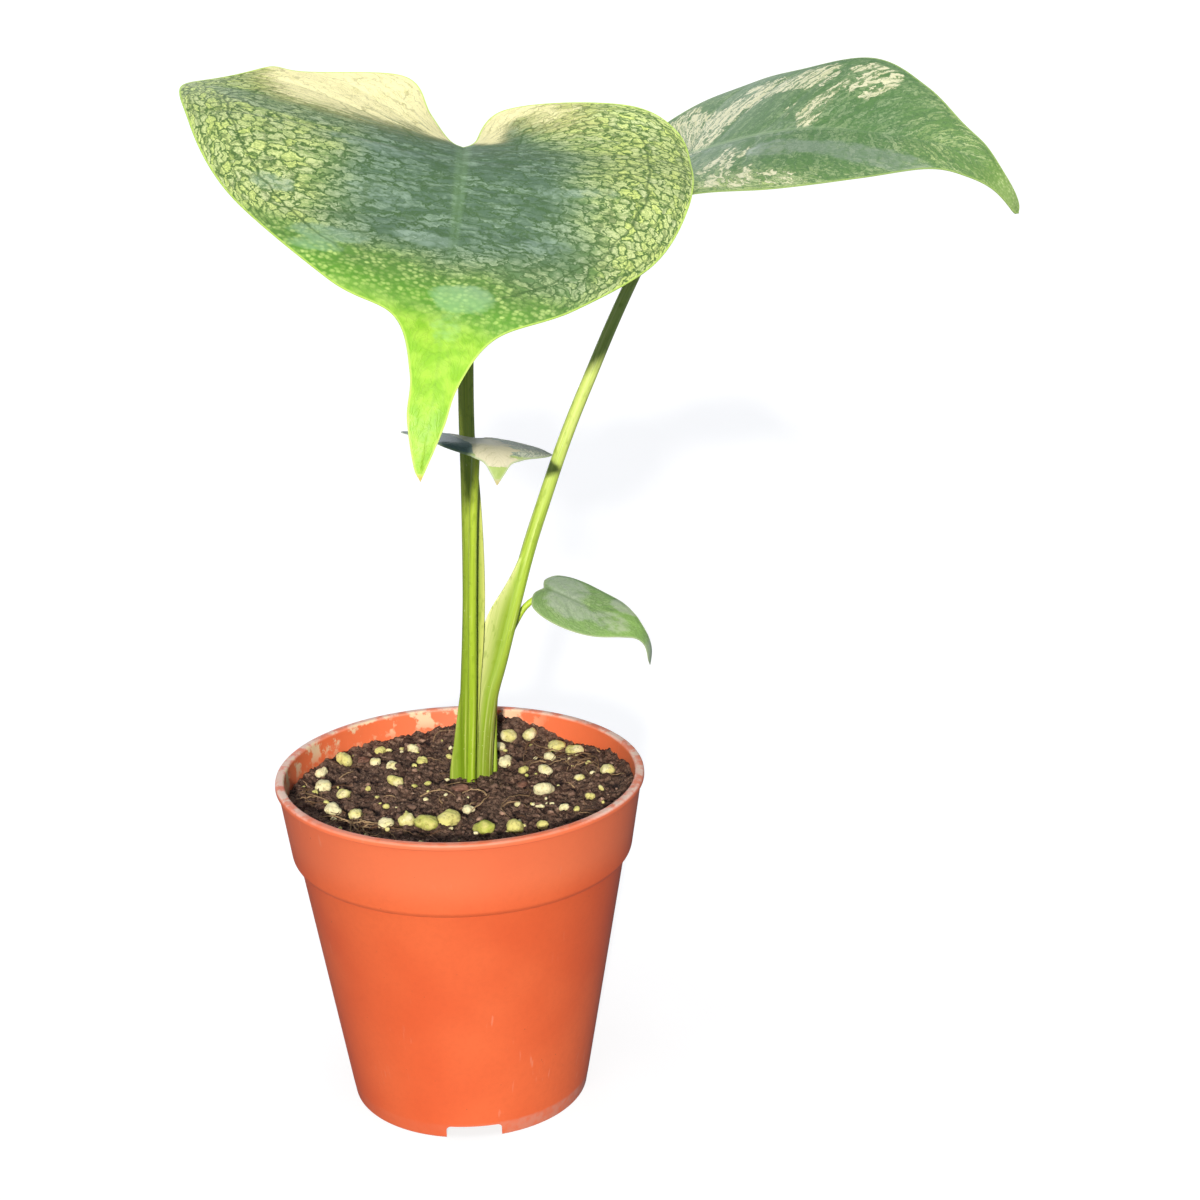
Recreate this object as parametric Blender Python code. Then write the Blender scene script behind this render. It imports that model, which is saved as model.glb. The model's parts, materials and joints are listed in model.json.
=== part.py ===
"""Potted young monstera in a 12 cm nursery pot.

A thin moulded plastic pot holds potting soil, with mineral granules and bark chips lying in its
surface. Four leaves grow from one crown hidden in the soil. Each leaf is a petiole (leaf stalk),
whose lower part carries the thin wings of its sheath, and a heart-shaped blade with a drip tip.

Frame: metres, +Z up, origin at the centre of the pot's underside, front of the plant towards -Y.
All sizes below are in millimetres and become metres when a mesh is made.
"""

import math
import random

import bmesh
import bpy
import numpy as np
from mathutils import Vector
from mathutils.geometry import delaunay_2d_cdt

MM = 0.001
CLEARANCE = 0.3            # air between two pieces that touch

# Nursery pot: a straight tapered body, a wider collar on top and a rolled rim.
RIM_RADIUS = 60.0
RIM_WIDTH = 3.0
POT_HEIGHT = 112.8
WALL = 1.1
COLLAR_TOP_RADIUS = 59.1
COLLAR_BOTTOM_RADIUS = 55.7
COLLAR_BOTTOM = 87.6
BODY_TOP_RADIUS = 53.5
BODY_BOTTOM_RADIUS = 40.1
BODY_BOTTOM = 5.5
FOOT_RADIUS = 39.3
FOOT_WIDTH = 2.0           # foot ring that the pot stands on
CHANNEL_HEIGHT = 5.0       # drainage channel between the foot ring and the middle pad
PAD_RADIUS = 25.2          # flat middle of the floor, level with the foot ring
POT_SEGMENTS = 48

NOTCH_WIDTH = 18.0         # gaps in the foot ring that let the water out
NOTCH_HEIGHT = 4.5
NOTCH_CORNER = 1.5
NOTCH_ANGLES = (-86.0, 34.0, 154.0)
DRAIN_HOLE_RADIUS = 2.5
DRAIN_HOLE_CIRCLE = 31.0
DRAIN_HOLES = 6

# Potting soil: filled to a little below the rim and banked up against parts of the wall.
SOIL_LEVEL = 103.6
SOIL_RINGS = (9.0, 18.0, 27.0, 36.0, 44.0, 50.5)
SOIL_UNEVENNESS = 0.5
SOIL_EDGE_RISE = 1.5       # the surface climbs this much from EDGE_START out to the wall
SOIL_EDGE_START = 30.0
SOIL_EDGE_WIDTH = 26.0
SOIL_BANKS = ((80.0, 6.0, 16.0), (12.0, 3.0, 26.0))     # (bearing, height, half width in degrees)
STALK_DEPTH = 13.0         # how far the petioles reach down into the soil

# Petioles: the route is a list of (x, y, z) points; wings are (height, reach) pairs.
SHEATH_THICKNESS = 0.8
WING_ROOT = 24.0           # degrees to each side of a wing's middle that its root takes up
LOW_WING = 0.5             # a wing that reaches out less than this is narrowed to its root
ARC_STEPS = 5              # faces of the round between two wings
PETIOLES = {
    "front_petiole": dict(
        route=((1.4, 17, 104), (2.4, 16.4, 132), (3.7, 15.6, 153), (4.6, 14.5, 172), (5.3, 12, 205),
               (5.5, 10.5, 232), (6.6, 6.5, 265)),
        radii=(2.6, 2.4), rings=17, colour=(0.36, 0.52, 0.05),
        left=(-170, ((90, 3.0), (103, 3.6), (117, 2.0), (134, 0))),
        right=(45, ((118, 0), (136, 2.6), (152, 3.6), (190, 2.9), (210, 1.8), (228, 0)))),
    "right_petiole": dict(
        route=((7.0, 18.7, 104), (9.2, 19.6, 128), (13.5, 21.8, 144), (22.3, 26.5, 176),
               (28.7, 29.4, 195), (36.0, 32.3, 215), (44.1, 35.4, 234), (57.0, 39.9, 262)),
        radii=(2.6, 1.8), rings=24, colour=(0.44, 0.60, 0.06),
        left=(-142, ((104, 0.2), (118, 0.6), (128, 1.6), (138, 4.2), (146, 6.2), (158, 8.2),
                     (166, 5.6), (182, 0))),
        right=(30, ((104, 0), (178, 0)))),
    "small_right_petiole": dict(
        route=((9.7, 22.9, 104), (10.6, 26.0, 128), (14.2, 28.5, 144), (18.8, 31, 154),
               (23.0, 32.3, 159.2)),
        radii=(1.35, 1.0), rings=12, colour=(0.42, 0.60, 0.06)),
    "small_front_petiole": dict(
        route=((2.7, 12.0, 104), (4.8, 10.6, 134), (6.1, 7.5, 169), (7.1, 4.5, 196),
               (7.9, 1.5, 210), (8.8, -5, 219)),
        radii=(1.5, 1.25), rings=13, colour=(0.40, 0.58, 0.05)),
}

# Blades. The flat outline of a half is given as (distance from the midrib, distance along it) from
# the stalk's joint; "slope" is the midrib's dip in degrees at distances along it, so it sets the
# blade's bend. "fold" lifts each half off the midrib (left, right), "droop" curls it down again in
# degrees per millimetre, and "roll" and "twist" (per 100 mm) turn the blade about its midrib.
BLADE_THICKNESS = 0.8
EDGE_THICKNESS = 0.3
FOLD_RADIUS = 6.0
SINUS = 1.5                # the notch between the lobes starts this far behind the joint
KEEL_SHARE = 0.0053        # share of the blade's length by which the midrib stands out below it
SEAT_SHARE = 0.02          # share of the length from the joint to the stalk's end below the midrib
BLADES = {
    "front_leaf": dict(
        stalk="front_petiole", joint=(7.9, 0, 312.9), heading=-87.6, roll=-7.3, twist=-1.8,
        fold=(7.9, 3.7), droop=(0, 0.06), length=152,
        grid=8.5, edge_points=38, colour=(0.07, 0.20, 0.06),
        slope=((-45, 41), (0, 7), (40, 23), (80, 19), (110, 31), (135, 68), (165, 93)),
        left=((3.6, -6), (10.6, -25), (20, -42), (51.5, -34), (64, -30.5), (83.5, 0.5), (78.5, 31),
              (61, 68), (32, 97.5), (13.7, 106), (7, 124), (6, 136), (2.5, 148)),
        right=((3, -7), (11.5, -32), (49.5, -39), (66, -27.5), (69, -2), (66.5, 31.5), (55.5, 65.5),
               (34, 94), (14.6, 109), (6.2, 125.5), (3.9, 137), (1.1, 148))),
    "right_leaf": dict(
        stalk="right_petiole", joint=(77.1, 45, 304.4), heading=-27.7, roll=14.2, twist=6.9,
        fold=(5.4, 6.6), droop=(0.11, 0.063), length=119.5,
        grid=7.5, edge_points=30, colour=(0.12, 0.26, 0.08),
        slope=((-30, 3.5), (0, -17), (30, -12), (60, 4.5), (85, 12.5), (105, 48), (125, 85)),
        left=((3, -8), (14, -23), (33, -23.5), (52, -15), (55.6, 3), (49.7, 23.3), (47, 49),
              (30.5, 72), (15, 88.3), (9.5, 98.5), (5.4, 107), (2.9, 117))),
    "small_right_leaf": dict(
        stalk="small_right_petiole", joint=(29.2, 33, 163.4), heading=-16.8, roll=5.6, twist=14.6,
        fold=(-0.9, -2.5), droop=(0.35, 0.37), length=47.4,
        grid=3.8, edge_points=20, colour=(0.16, 0.24, 0.13),
        slope=((-10, 8), (0, 18.5), (12, 24), (24, 20), (32, 36), (40, 81), (50, 103)),
        left=((5, -3), (9.5, -2.5), (14, -0.5), (16.7, 4.5), (16.8, 12), (13.8, 22), (8.4, 29.3),
              (4.5, 33.7), (2.8, 37.7), (2.4, 43.4))),
    "small_front_leaf": dict(
        stalk="small_front_petiole", joint=(9.7, -12, 226.7), heading=-76.3, roll=-8.4, twist=2.0,
        fold=(1.4, -4.4), droop=(0.09, 0.29), length=39.6,
        grid=3.8, edge_points=20, colour=(0.10, 0.16, 0.12),
        slope=((-10, -5), (0, -8), (12, -7.5), (24, -2), (30, 30), (36, 73), (45, 92)),
        left=((2.8, -4), (5.5, -8.2), (13.7, -9), (22.4, -5), (21.8, 2.5), (20.8, 11.8), (17, 26),
              (8, 31.1), (4.3, 33), (2.1, 36.2), (0.4, 39))),
}

# Granules in the soil's surface: (bearing in degrees, distance from the pot's axis, size).
GRANULES = (
    (-111, 27, 6.2), (-98, 20.5, 6.6), (-73, 30, 6.6), (-57, 34, 5.6), (-127, 27, 4.6),      # front
    (-132, 33.5, 4.0), (-46, 39, 4.0), (-76, 13, 3.4),
    (173, 46, 5.4), (179, 38.5, 4.2), (-162, 42.5, 5.0), (-153, 37, 4.2), (159, 51, 4.2),    # left
    (145, 50, 5.6), (138, 41, 3.4), (136, 34, 3.8), (154, 25, 4.2), (128, 48, 3.6),
    (115, 44, 3.8), (117, 32, 3.2),
    (72, 46, 5.4), (74, 39.5, 3.8), (65, 50.5, 4.6), (51, 49, 5.2), (41, 49, 5.0),           # right
    (46, 41, 3.6), (33, 32.5, 4.0), (44, 27.5, 3.6), (5, 27, 5.8), (15, 40, 3.2), (13, 49.5, 4.8),
    (-7, 42.5, 3.2), (-22, 36.5, 2.8), (64, 30.5, 4.4),
)
CENTRE_RISE = 0.15         # share of its height that a granule's centre lies above the soil
HOLLOW_GROWTH = 1.4        # a lump's hollow grows by this many clearances, as its faces are oblique
GOLDEN = (1 + math.sqrt(5)) / 2     # proportion of the icosahedra that granules and chips start from

# Bark chips: (bearing, distance, length, width, thickness, turn about +Z).
BARK_CHIPS = ((100, 3.6, 7.5, 5.0, 3.4, 20), (140, 45, 6.0, 3.0, 2.4, -35), (20, 21, 5.5, 3.2, 2.2, 60))


def clear_scene():
    for item in list(bpy.data.objects):
        bpy.data.objects.remove(item, do_unlink=True)


def material(name, colour, roughness):
    made = bpy.data.materials.new(name)
    made.use_nodes = True
    shader = made.node_tree.nodes["Principled BSDF"]
    shader.inputs["Base Color"].default_value = (*colour, 1.0)
    shader.inputs["Roughness"].default_value = roughness
    shader.inputs["Metallic"].default_value = 0.0
    return made


def add_object(name, points, faces, surface=None, smooth_angle=40.0):
    """A mesh object from points in millimetres, with its faces turned outwards."""
    shape = bmesh.new()
    verts = [shape.verts.new([float(value) * MM for value in point]) for point in points]
    for face in faces:
        shape.faces.new([verts[index] for index in face])
    bmesh.ops.recalc_face_normals(shape, faces=shape.faces)
    if shape.calc_volume(signed=True) < 0:
        bmesh.ops.reverse_faces(shape, faces=shape.faces)
    bmesh.ops.triangulate(shape, faces=shape.faces)
    mesh = bpy.data.meshes.new(name)
    shape.to_mesh(mesh)
    shape.free()
    mesh.shade_smooth()
    mesh.set_sharp_from_angle(angle=math.radians(smooth_angle))
    if surface is not None:
        mesh.materials.append(surface)
    made = bpy.data.objects.new(name, mesh)
    bpy.context.collection.objects.link(made)
    return made


def add_cutter(name, points, faces, group):
    """A guide solid that a Boolean subtracts; it is not part of the model."""
    cutter = add_object(name, points, faces)
    cutter.hide_render = True
    cutter.display_type = "WIRE"
    bpy.context.collection.objects.unlink(cutter)
    group.objects.link(cutter)


def cutter_group(name):
    group = bpy.data.collections.new(name)
    bpy.context.scene.collection.children.link(group)
    return group


def subtract(target, group):
    cut = target.modifiers.new("cut " + group.name, "BOOLEAN")
    cut.operation = "DIFFERENCE"
    cut.operand_type = "COLLECTION"
    cut.collection = group
    cut.solver = "EXACT"


def polar(bearing, distance):
    angle = math.radians(bearing)
    return distance * math.cos(angle), distance * math.sin(angle)


def smooth_curve(points, samples, bunching=1.0):
    """Points along a Catmull-Rom curve through the given ones, spaced by length along it.

    Bunching above 1 moves the samples towards the curve's end."""
    control = np.asarray(points, float)
    control = np.vstack([2 * control[0] - control[1], control, 2 * control[-1] - control[-2]])
    t = np.linspace(0.0, 1.0, 16, endpoint=False)[:, None]
    dense = []
    for a, b, c, d in zip(control, control[1:], control[2:], control[3:]):
        cubic = (2 * a - 5 * b + 4 * c - d) * t**2 + (3 * b - a - 3 * c + d) * t**3
        dense.append(0.5 * (2 * b + (c - a) * t + cubic))
    dense = np.vstack(dense + [control[-2:-1]])
    length = np.concatenate([[0], np.cumsum(np.linalg.norm(np.diff(dense, axis=0), axis=1))])
    share = 1.0 - (1.0 - np.linspace(0.0, 1.0, samples)) ** bunching
    return np.stack([np.interp(share * length[-1], length, column) for column in dense.T], axis=1)


def turned_faces(rings, segments):
    """Faces of a turned solid whose first and last rings are single points on the axis."""
    def ring_point(ring, segment):
        if ring == 0:
            return 0
        if ring == rings - 1:
            return 1 + (rings - 2) * segments
        return 1 + (ring - 1) * segments + segment % segments

    faces = []
    for ring in range(rings - 1):
        for segment in range(segments):
            corners = [ring_point(ring, segment), ring_point(ring, segment + 1),
                       ring_point(ring + 1, segment + 1), ring_point(ring + 1, segment)]
            faces.append(list(dict.fromkeys(corners)))
    return faces


def turned_points(profile, segments, height=None):
    """Points of a profile of (radius, z) turned about the Z axis, in the order of turned_faces.

    A z of None is replaced by height(x, y)."""
    points = []
    for radius, z in profile:
        for segment in range(segments if radius > 0 else 1):
            x, y = polar(360.0 * segment / segments, radius)
            points.append((x, y, height(x, y) if z is None else z))
    return points


# Pot -------------------------------------------------------------------------------------------

def pot_outside():
    """Profile down the outside, from the top of the rim to the edge of the foot."""
    return [(RIM_RADIUS - 1.3, POT_HEIGHT), (RIM_RADIUS - 0.5, POT_HEIGHT - 0.1),
            (RIM_RADIUS, POT_HEIGHT - 0.8), (RIM_RADIUS - 0.1, POT_HEIGHT - 1.6),
            (COLLAR_TOP_RADIUS, POT_HEIGHT - 1.9), (COLLAR_BOTTOM_RADIUS, COLLAR_BOTTOM),
            (COLLAR_BOTTOM_RADIUS - 0.5, COLLAR_BOTTOM - 0.8), (BODY_TOP_RADIUS, COLLAR_BOTTOM - 1.4),
            (BODY_BOTTOM_RADIUS, BODY_BOTTOM), (FOOT_RADIUS, 0.8), (FOOT_RADIUS - 0.6, 0.0)]


def pot_inside():
    """Profile of the cavity, from the middle of the floor up to the top of the rim."""
    floor = CHANNEL_HEIGHT + WALL
    top = RIM_RADIUS - RIM_WIDTH
    return [(0.0, WALL), (PAD_RADIUS - 1.0, WALL), (PAD_RADIUS, floor),
            (BODY_BOTTOM_RADIUS - WALL - 0.8, floor), (BODY_BOTTOM_RADIUS - WALL, floor + 1.0),
            (BODY_TOP_RADIUS - WALL, COLLAR_BOTTOM - 1.4),
            (COLLAR_BOTTOM_RADIUS - WALL, COLLAR_BOTTOM + 0.8),
            (top, POT_HEIGHT - 2.2), (top, POT_HEIGHT - 0.6), (top + 0.6, POT_HEIGHT - 0.1)]


def pot_underside():
    """Profile from the foot ring across the drainage channel to the middle pad."""
    inner = FOOT_RADIUS - FOOT_WIDTH
    return [(inner + 0.3, 0.0), (inner, CHANNEL_HEIGHT), (PAD_RADIUS + 0.8, CHANNEL_HEIGHT),
            (PAD_RADIUS, 0.0), (0.0, 0.0)]


def notch_cutter(bearing, group):
    """A bar with rounded top corners, laid radially through the foot ring."""
    half = NOTCH_WIDTH / 2
    section = [(-half, -1.0), (half, -1.0)]
    for side, start in ((1, 0), (-1, 90)):
        for turn in (0, 45, 90):
            angle = math.radians(start + turn)
            section.append((side * (half - NOTCH_CORNER) + NOTCH_CORNER * math.cos(angle),
                            NOTCH_HEIGHT - NOTCH_CORNER + NOTCH_CORNER * math.sin(angle)))
    count = len(section)
    along = polar(bearing, 1.0)
    points = []
    for distance in (FOOT_RADIUS - FOOT_WIDTH - 3.0, FOOT_RADIUS + 3.0):
        for across, z in section:
            points.append((distance * along[0] - across * along[1],
                           distance * along[1] + across * along[0], z))
    faces = [list(range(count)), list(range(count, 2 * count))]
    for index in range(count):
        after = (index + 1) % count
        faces.append([index, after, count + after, count + index])
    add_cutter("cutter_notch", points, faces, group)


def drain_hole_cutter(bearing, group):
    x, y = polar(bearing, DRAIN_HOLE_CIRCLE)
    points = []
    for z in (CHANNEL_HEIGHT - 1.0, CHANNEL_HEIGHT + WALL + 1.0):
        for step in range(12):
            dx, dy = polar(30.0 * step, DRAIN_HOLE_RADIUS)
            points.append((x + dx, y + dy, z))
    faces = [list(range(12)), list(range(12, 24))]
    for step in range(12):
        after = (step + 1) % 12
        faces.append([step, after, 12 + after, 12 + step])
    add_cutter("cutter_drain_hole", points, faces, group)


def make_pot():
    profile = pot_inside() + pot_outside() + pot_underside()
    points = turned_points(profile, POT_SEGMENTS)
    faces = turned_faces(len(profile), POT_SEGMENTS)
    pot = add_object("nursery_pot", points, faces, material("pot_plastic", (0.80, 0.14, 0.04), 0.4))
    openings = cutter_group("pot openings")
    for bearing in NOTCH_ANGLES:
        notch_cutter(bearing, openings)
    for hole in range(DRAIN_HOLES):
        drain_hole_cutter(NOTCH_ANGLES[0] + 360.0 * (hole + 0.5) / DRAIN_HOLES, openings)
    subtract(pot, openings)


# Soil ------------------------------------------------------------------------------------------

def soil_height(x, y):
    """Height of the soil's surface: gently uneven, and banked up against parts of the wall."""
    bearing = math.degrees(math.atan2(y, x))
    edge = min(max((math.hypot(x, y) - SOIL_EDGE_START) / SOIL_EDGE_WIDTH, 0.0), 1.0)
    rise = SOIL_EDGE_RISE
    for middle, height, half_width in SOIL_BANKS:
        rise += height * math.exp(-((bearing - middle) / half_width) ** 2)
    return SOIL_LEVEL + SOIL_UNEVENNESS * math.sin(x / 9.0 + 1.0) * math.cos(y / 7.0) + rise * edge**2


def make_soil(cutters):
    """Fills the pot's cavity to the soil's level, less the clearance to the wall."""
    floor = CHANNEL_HEIGHT + WALL
    collar = COLLAR_BOTTOM_RADIUS - WALL
    wall_slope = (RIM_RADIUS - RIM_WIDTH - collar) / (POT_HEIGHT - 3.0 - COLLAR_BOTTOM)
    edge = collar - CLEARANCE + (SOIL_LEVEL - COLLAR_BOTTOM - 0.8) * wall_slope
    profile = [(0.0, None)]
    profile += [(radius, None) for radius in SOIL_RINGS]
    profile += [(edge, None), (collar - CLEARANCE, COLLAR_BOTTOM + 0.9),
                (BODY_TOP_RADIUS - WALL - CLEARANCE, COLLAR_BOTTOM - 1.3),
                (BODY_BOTTOM_RADIUS - WALL - CLEARANCE, floor + 1.2),
                (BODY_BOTTOM_RADIUS - WALL - 1.1, floor + CLEARANCE), (PAD_RADIUS - 0.3, floor + CLEARANCE),
                (PAD_RADIUS - 1.3, WALL + CLEARANCE), (0.0, WALL + CLEARANCE)]
    points = turned_points(profile, POT_SEGMENTS, soil_height)
    faces = turned_faces(len(profile), POT_SEGMENTS)
    surface = material("potting_soil", (0.045, 0.024, 0.017), 0.95)
    soil = add_object("potting_soil", points, faces, surface)
    subtract(soil, cutters)


def icosahedron_corners():
    """Twelve corners whose edges are 2 long."""
    corners = [(a, b * GOLDEN, 0.0) for a in (-1, 1) for b in (-1, 1)]
    corners += [(0.0, a, b * GOLDEN) for a in (-1, 1) for b in (-1, 1)]
    corners += [(b * GOLDEN, 0.0, a) for a in (-1, 1) for b in (-1, 1)]
    return corners


def lump_points(centre, sizes, turn, seed, grow):
    """The twelve corners of an irregular icosahedron, grown outwards for a cutter."""
    dice = random.Random(seed)
    cos_turn, sin_turn = math.cos(math.radians(turn)), math.sin(math.radians(turn))
    points = []
    for corner in icosahedron_corners():
        scale = dice.uniform(0.86, 1.1) / math.hypot(1.0, GOLDEN)
        x, y, z = [value * scale * (size / 2 + grow) for value, size in zip(corner, sizes)]
        points.append((centre[0] + x * cos_turn - y * sin_turn,
                       centre[1] + x * sin_turn + y * cos_turn, centre[2] + z))
    return points


def lump_faces():
    """The icosahedron's twenty faces: every three corners that are all one edge apart."""
    corners = icosahedron_corners()
    near = [[math.dist(a, b) < 2.1 for b in corners] for a in corners]
    return [(a, b, c) for a in range(12) for b in range(a + 1, 12) for c in range(b + 1, 12)
            if near[a][b] and near[b][c] and near[a][c]]


def make_lump(name, bearing, distance, sizes, turn, seed, surface, cutters):
    """A small solid lying half sunk in the soil, with the hollow that it lies in."""
    x, y = polar(bearing, distance)
    centre = (x, y, soil_height(x, y) + CENTRE_RISE * sizes[2])
    faces = lump_faces()
    add_object(name, lump_points(centre, sizes, turn, seed, 0.0), faces, surface, 20.0)
    hollow = lump_points(centre, sizes, turn, seed, HOLLOW_GROWTH * CLEARANCE)
    add_cutter("cutter_" + name, hollow, faces, cutters)


def make_granules(cutters):
    surface = material("mineral_granule", (0.62, 0.66, 0.30), 0.85)
    for number, (bearing, distance, size) in enumerate(GRANULES, start=1):
        dice = random.Random(number)
        sizes = [size * dice.uniform(*share) for share in ((0.95, 1.1), (0.85, 1.0), (0.8, 0.95))]
        make_lump(f"mineral_granule_{number:02d}", bearing, distance, sizes, dice.uniform(0, 180),
                  number, surface, cutters)


def make_bark_chips(cutters):
    surface = material("bark_chip", (0.14, 0.07, 0.045), 0.9)
    for number, (bearing, distance, *sizes, turn) in enumerate(BARK_CHIPS, start=1):
        make_lump(f"bark_chip_{number}", bearing, distance, sizes, turn, 100 + number,
                  surface, cutters)


# Petioles --------------------------------------------------------------------------------------

def petiole_section(radius, wings, grow):
    """Outline across a petiole. Each wing is a thin blade pointing out at its own angle."""
    outer = radius + grow
    root = math.degrees(math.asin((radius * math.sin(math.radians(WING_ROOT)) + grow) / outer))
    outline = []
    for index, (bearing, reach) in enumerate(wings):
        half = SHEATH_THICKNESS / 2 + grow
        if reach < LOW_WING:
            half = min(half, outer * math.sin(math.radians(0.6 * root)))
        east, north = polar(bearing, 1.0)
        tip = outer + reach
        outline.append(polar(bearing - root, outer))
        for across in (-half, half):
            outline.append((tip * east - across * north, tip * north + across * east))
        following = wings[(index + 1) % len(wings)][0]
        sweep = (following - bearing) % 360.0 - 2 * root
        outline += [polar(bearing + root + sweep * step / ARC_STEPS, outer) for step in range(ARC_STEPS)]
    return outline


def round_section(radius, grow):
    return [polar(360.0 * step / (2 * ARC_STEPS), radius + grow) for step in range(2 * ARC_STEPS)]


def wing_reach(wing, height):
    heights, reaches = zip(*wing[1])
    return float(np.interp(height, heights, reaches))


def seat_of(blade):
    """Where the stalk's end meets the blade: the point below the midrib, and the way it faces."""
    along = SEAT_SHARE * blade["length"]
    centre, normal = blade_frame(blade, np.array([0.0]), np.array([along]))
    drop = BLADE_THICKNESS / 2 + keel_depth(blade, along) + CLEARANCE
    return centre[0] - normal[0] * drop, normal[0]


def petiole_shape(name, grow):
    """Points and faces of a petiole swept along its route, with flat ends, grown for a cutter.

    The upper end is cut parallel to the underside of the blade that it carries."""
    stalk = PETIOLES[name]
    blade = next(blade for blade in BLADES.values() if blade["stalk"] == name)
    seat, normal = seat_of(blade)
    foot = np.array(stalk["route"][0]) - (0, 0, STALK_DEPTH + grow)
    middle = smooth_curve([foot, *stalk["route"], seat], stalk["rings"])
    tangents = np.gradient(middle, axis=0)
    tangents /= np.linalg.norm(tangents, axis=1)[:, None]
    points = []
    for index, (centre, tangent) in enumerate(zip(middle, tangents)):
        side = np.array([1.0, 0.0, 0.0]) - tangent[0] * tangent
        side /= np.linalg.norm(side)
        back = np.cross(tangent, side)
        radius = np.interp(index, (0, stalk["rings"] - 1), stalk["radii"])
        if "left" in stalk:
            wings = [(wing[0], wing_reach(wing, centre[2]))
                     for wing in (stalk["left"], stalk["right"])]
            section = petiole_section(radius, wings, grow)
        else:
            section = round_section(radius, grow)
        points += [centre + side * across + back * depth for across, depth in section]
    count = len(points) // stalk["rings"]
    last = slice(len(points) - count, len(points))
    points[last] = [point + tangents[-1] * ((seat - point) @ normal) / (tangents[-1] @ normal)
                    for point in points[last]]
    faces = [list(range(count)), list(range(len(points) - count, len(points)))]
    for ring in range(stalk["rings"] - 1):
        for step in range(count):
            low, after = ring * count + step, ring * count + (step + 1) % count
            faces.append([low, after, after + count, low + count])
    return points, faces


def make_petioles(cutters):
    for name, stalk in PETIOLES.items():
        points, faces = petiole_shape(name, 0.0)
        add_object(name, points, faces, material(name, stalk["colour"], 0.45))
        points, faces = petiole_shape(name, CLEARANCE)
        add_cutter("cutter_" + name, points, faces, cutters)


# Blades ----------------------------------------------------------------------------------------

def smooth_value(knots, at):
    """Cubic through (position, value) pairs, read at the given positions."""
    x, y = np.array(knots, float).T
    slope = np.gradient(y, x)
    at = np.clip(at, x[0], x[-1])
    left = np.clip(np.searchsorted(x, at) - 1, 0, len(x) - 2)
    step = x[left + 1] - x[left]
    t = (at - x[left]) / step
    value = (2 * t**3 - 3 * t**2 + 1) * y[left] + (3 * t**2 - 2 * t**3) * y[left + 1]
    return value + step * ((t**3 - 2 * t**2 + t) * slope[left] + (t**3 - t**2) * slope[left + 1])


def blade_surface(blade, across, along):
    """Bends flat blade coordinates into space: along the midrib's slope, then each half's fold."""
    stations = np.arange(-60.0, 201.0)
    dip = np.radians(smooth_value(blade["slope"], stations))
    forward = np.concatenate([[0], np.cumsum(np.cos((dip[1:] + dip[:-1]) / 2))])
    height = -np.concatenate([[0], np.cumsum(np.sin((dip[1:] + dip[:-1]) / 2))])
    forward = np.interp(along, stations, forward - forward[60])
    height = np.interp(along, stations, height - height[60])
    dip = np.interp(along, stations, dip)

    left = across < 0
    fold = np.radians(np.where(left, blade["fold"][0], blade["fold"][1]))
    droop = np.radians(np.where(left, blade["droop"][0], blade["droop"][1]))
    sideways = np.zeros_like(across)
    lift = np.zeros_like(across)
    parts = 24
    for part in range(parts):
        out = np.abs(across) * (part + 0.5) / parts
        angle = fold * (1 - np.exp(-out / FOLD_RADIUS)) - droop * out
        sideways += np.cos(angle) * across / parts
        lift += np.sin(angle) * np.abs(across) / parts
    forward = forward + lift * np.sin(dip)
    height = height + lift * np.cos(dip)

    turn = np.radians(blade["roll"] + blade["twist"] * along / 100)
    sideways, height = (np.cos(turn) * sideways - np.sin(turn) * height,
                        np.sin(turn) * sideways + np.cos(turn) * height)
    east, north = polar(blade["heading"], 1.0)
    x = forward * east - sideways * north
    y = forward * north + sideways * east
    return np.array(blade["joint"]) + np.stack([x, y, height], axis=-1)


def blade_frame(blade, across, along):
    """Points of the blade's middle surface with the directions that face up from it."""
    step = 0.4
    centre = blade_surface(blade, across, along)
    over = blade_surface(blade, across + step, along) - blade_surface(blade, across - step, along)
    ahead = blade_surface(blade, across, along + step) - blade_surface(blade, across, along - step)
    normal = np.cross(ahead, over)
    normal /= np.linalg.norm(normal, axis=1)[:, None]
    return centre, normal


def keel_depth(blade, along):
    """The midrib's keel, which tapers away towards the tip."""
    return KEEL_SHARE * max(0.0, blade["length"] - along)


def blade_outline(blade):
    """The flat outline from the notch round both halves, with a tight spacing near the tip."""
    start, tip = (0.0, -SINUS), (0.0, blade["length"])
    halves = []
    for side, half in ((-1, blade["left"]), (1, blade.get("right", blade["left"]))):
        points = [start, *[(side * across, along) for across, along in half], tip]
        halves.append(smooth_curve(points, blade["edge_points"], 1.3))
    left, right = halves
    return np.vstack([left, right[-2:0:-1]])


def inside(outline, point, margin):
    """Whether a flat point lies inside the outline and at least a margin away from it."""
    ahead = np.roll(outline, -1, axis=0)
    crosses = (outline[:, 1] > point[1]) != (ahead[:, 1] > point[1])
    rise = np.where(ahead[:, 1] == outline[:, 1], 1.0, ahead[:, 1] - outline[:, 1])
    at = outline[:, 0] + (point[1] - outline[:, 1]) * (ahead[:, 0] - outline[:, 0]) / rise
    odd = np.count_nonzero(crosses & (at > point[0])) % 2
    return odd == 1 and np.linalg.norm(outline - point, axis=1).min() > margin


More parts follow.
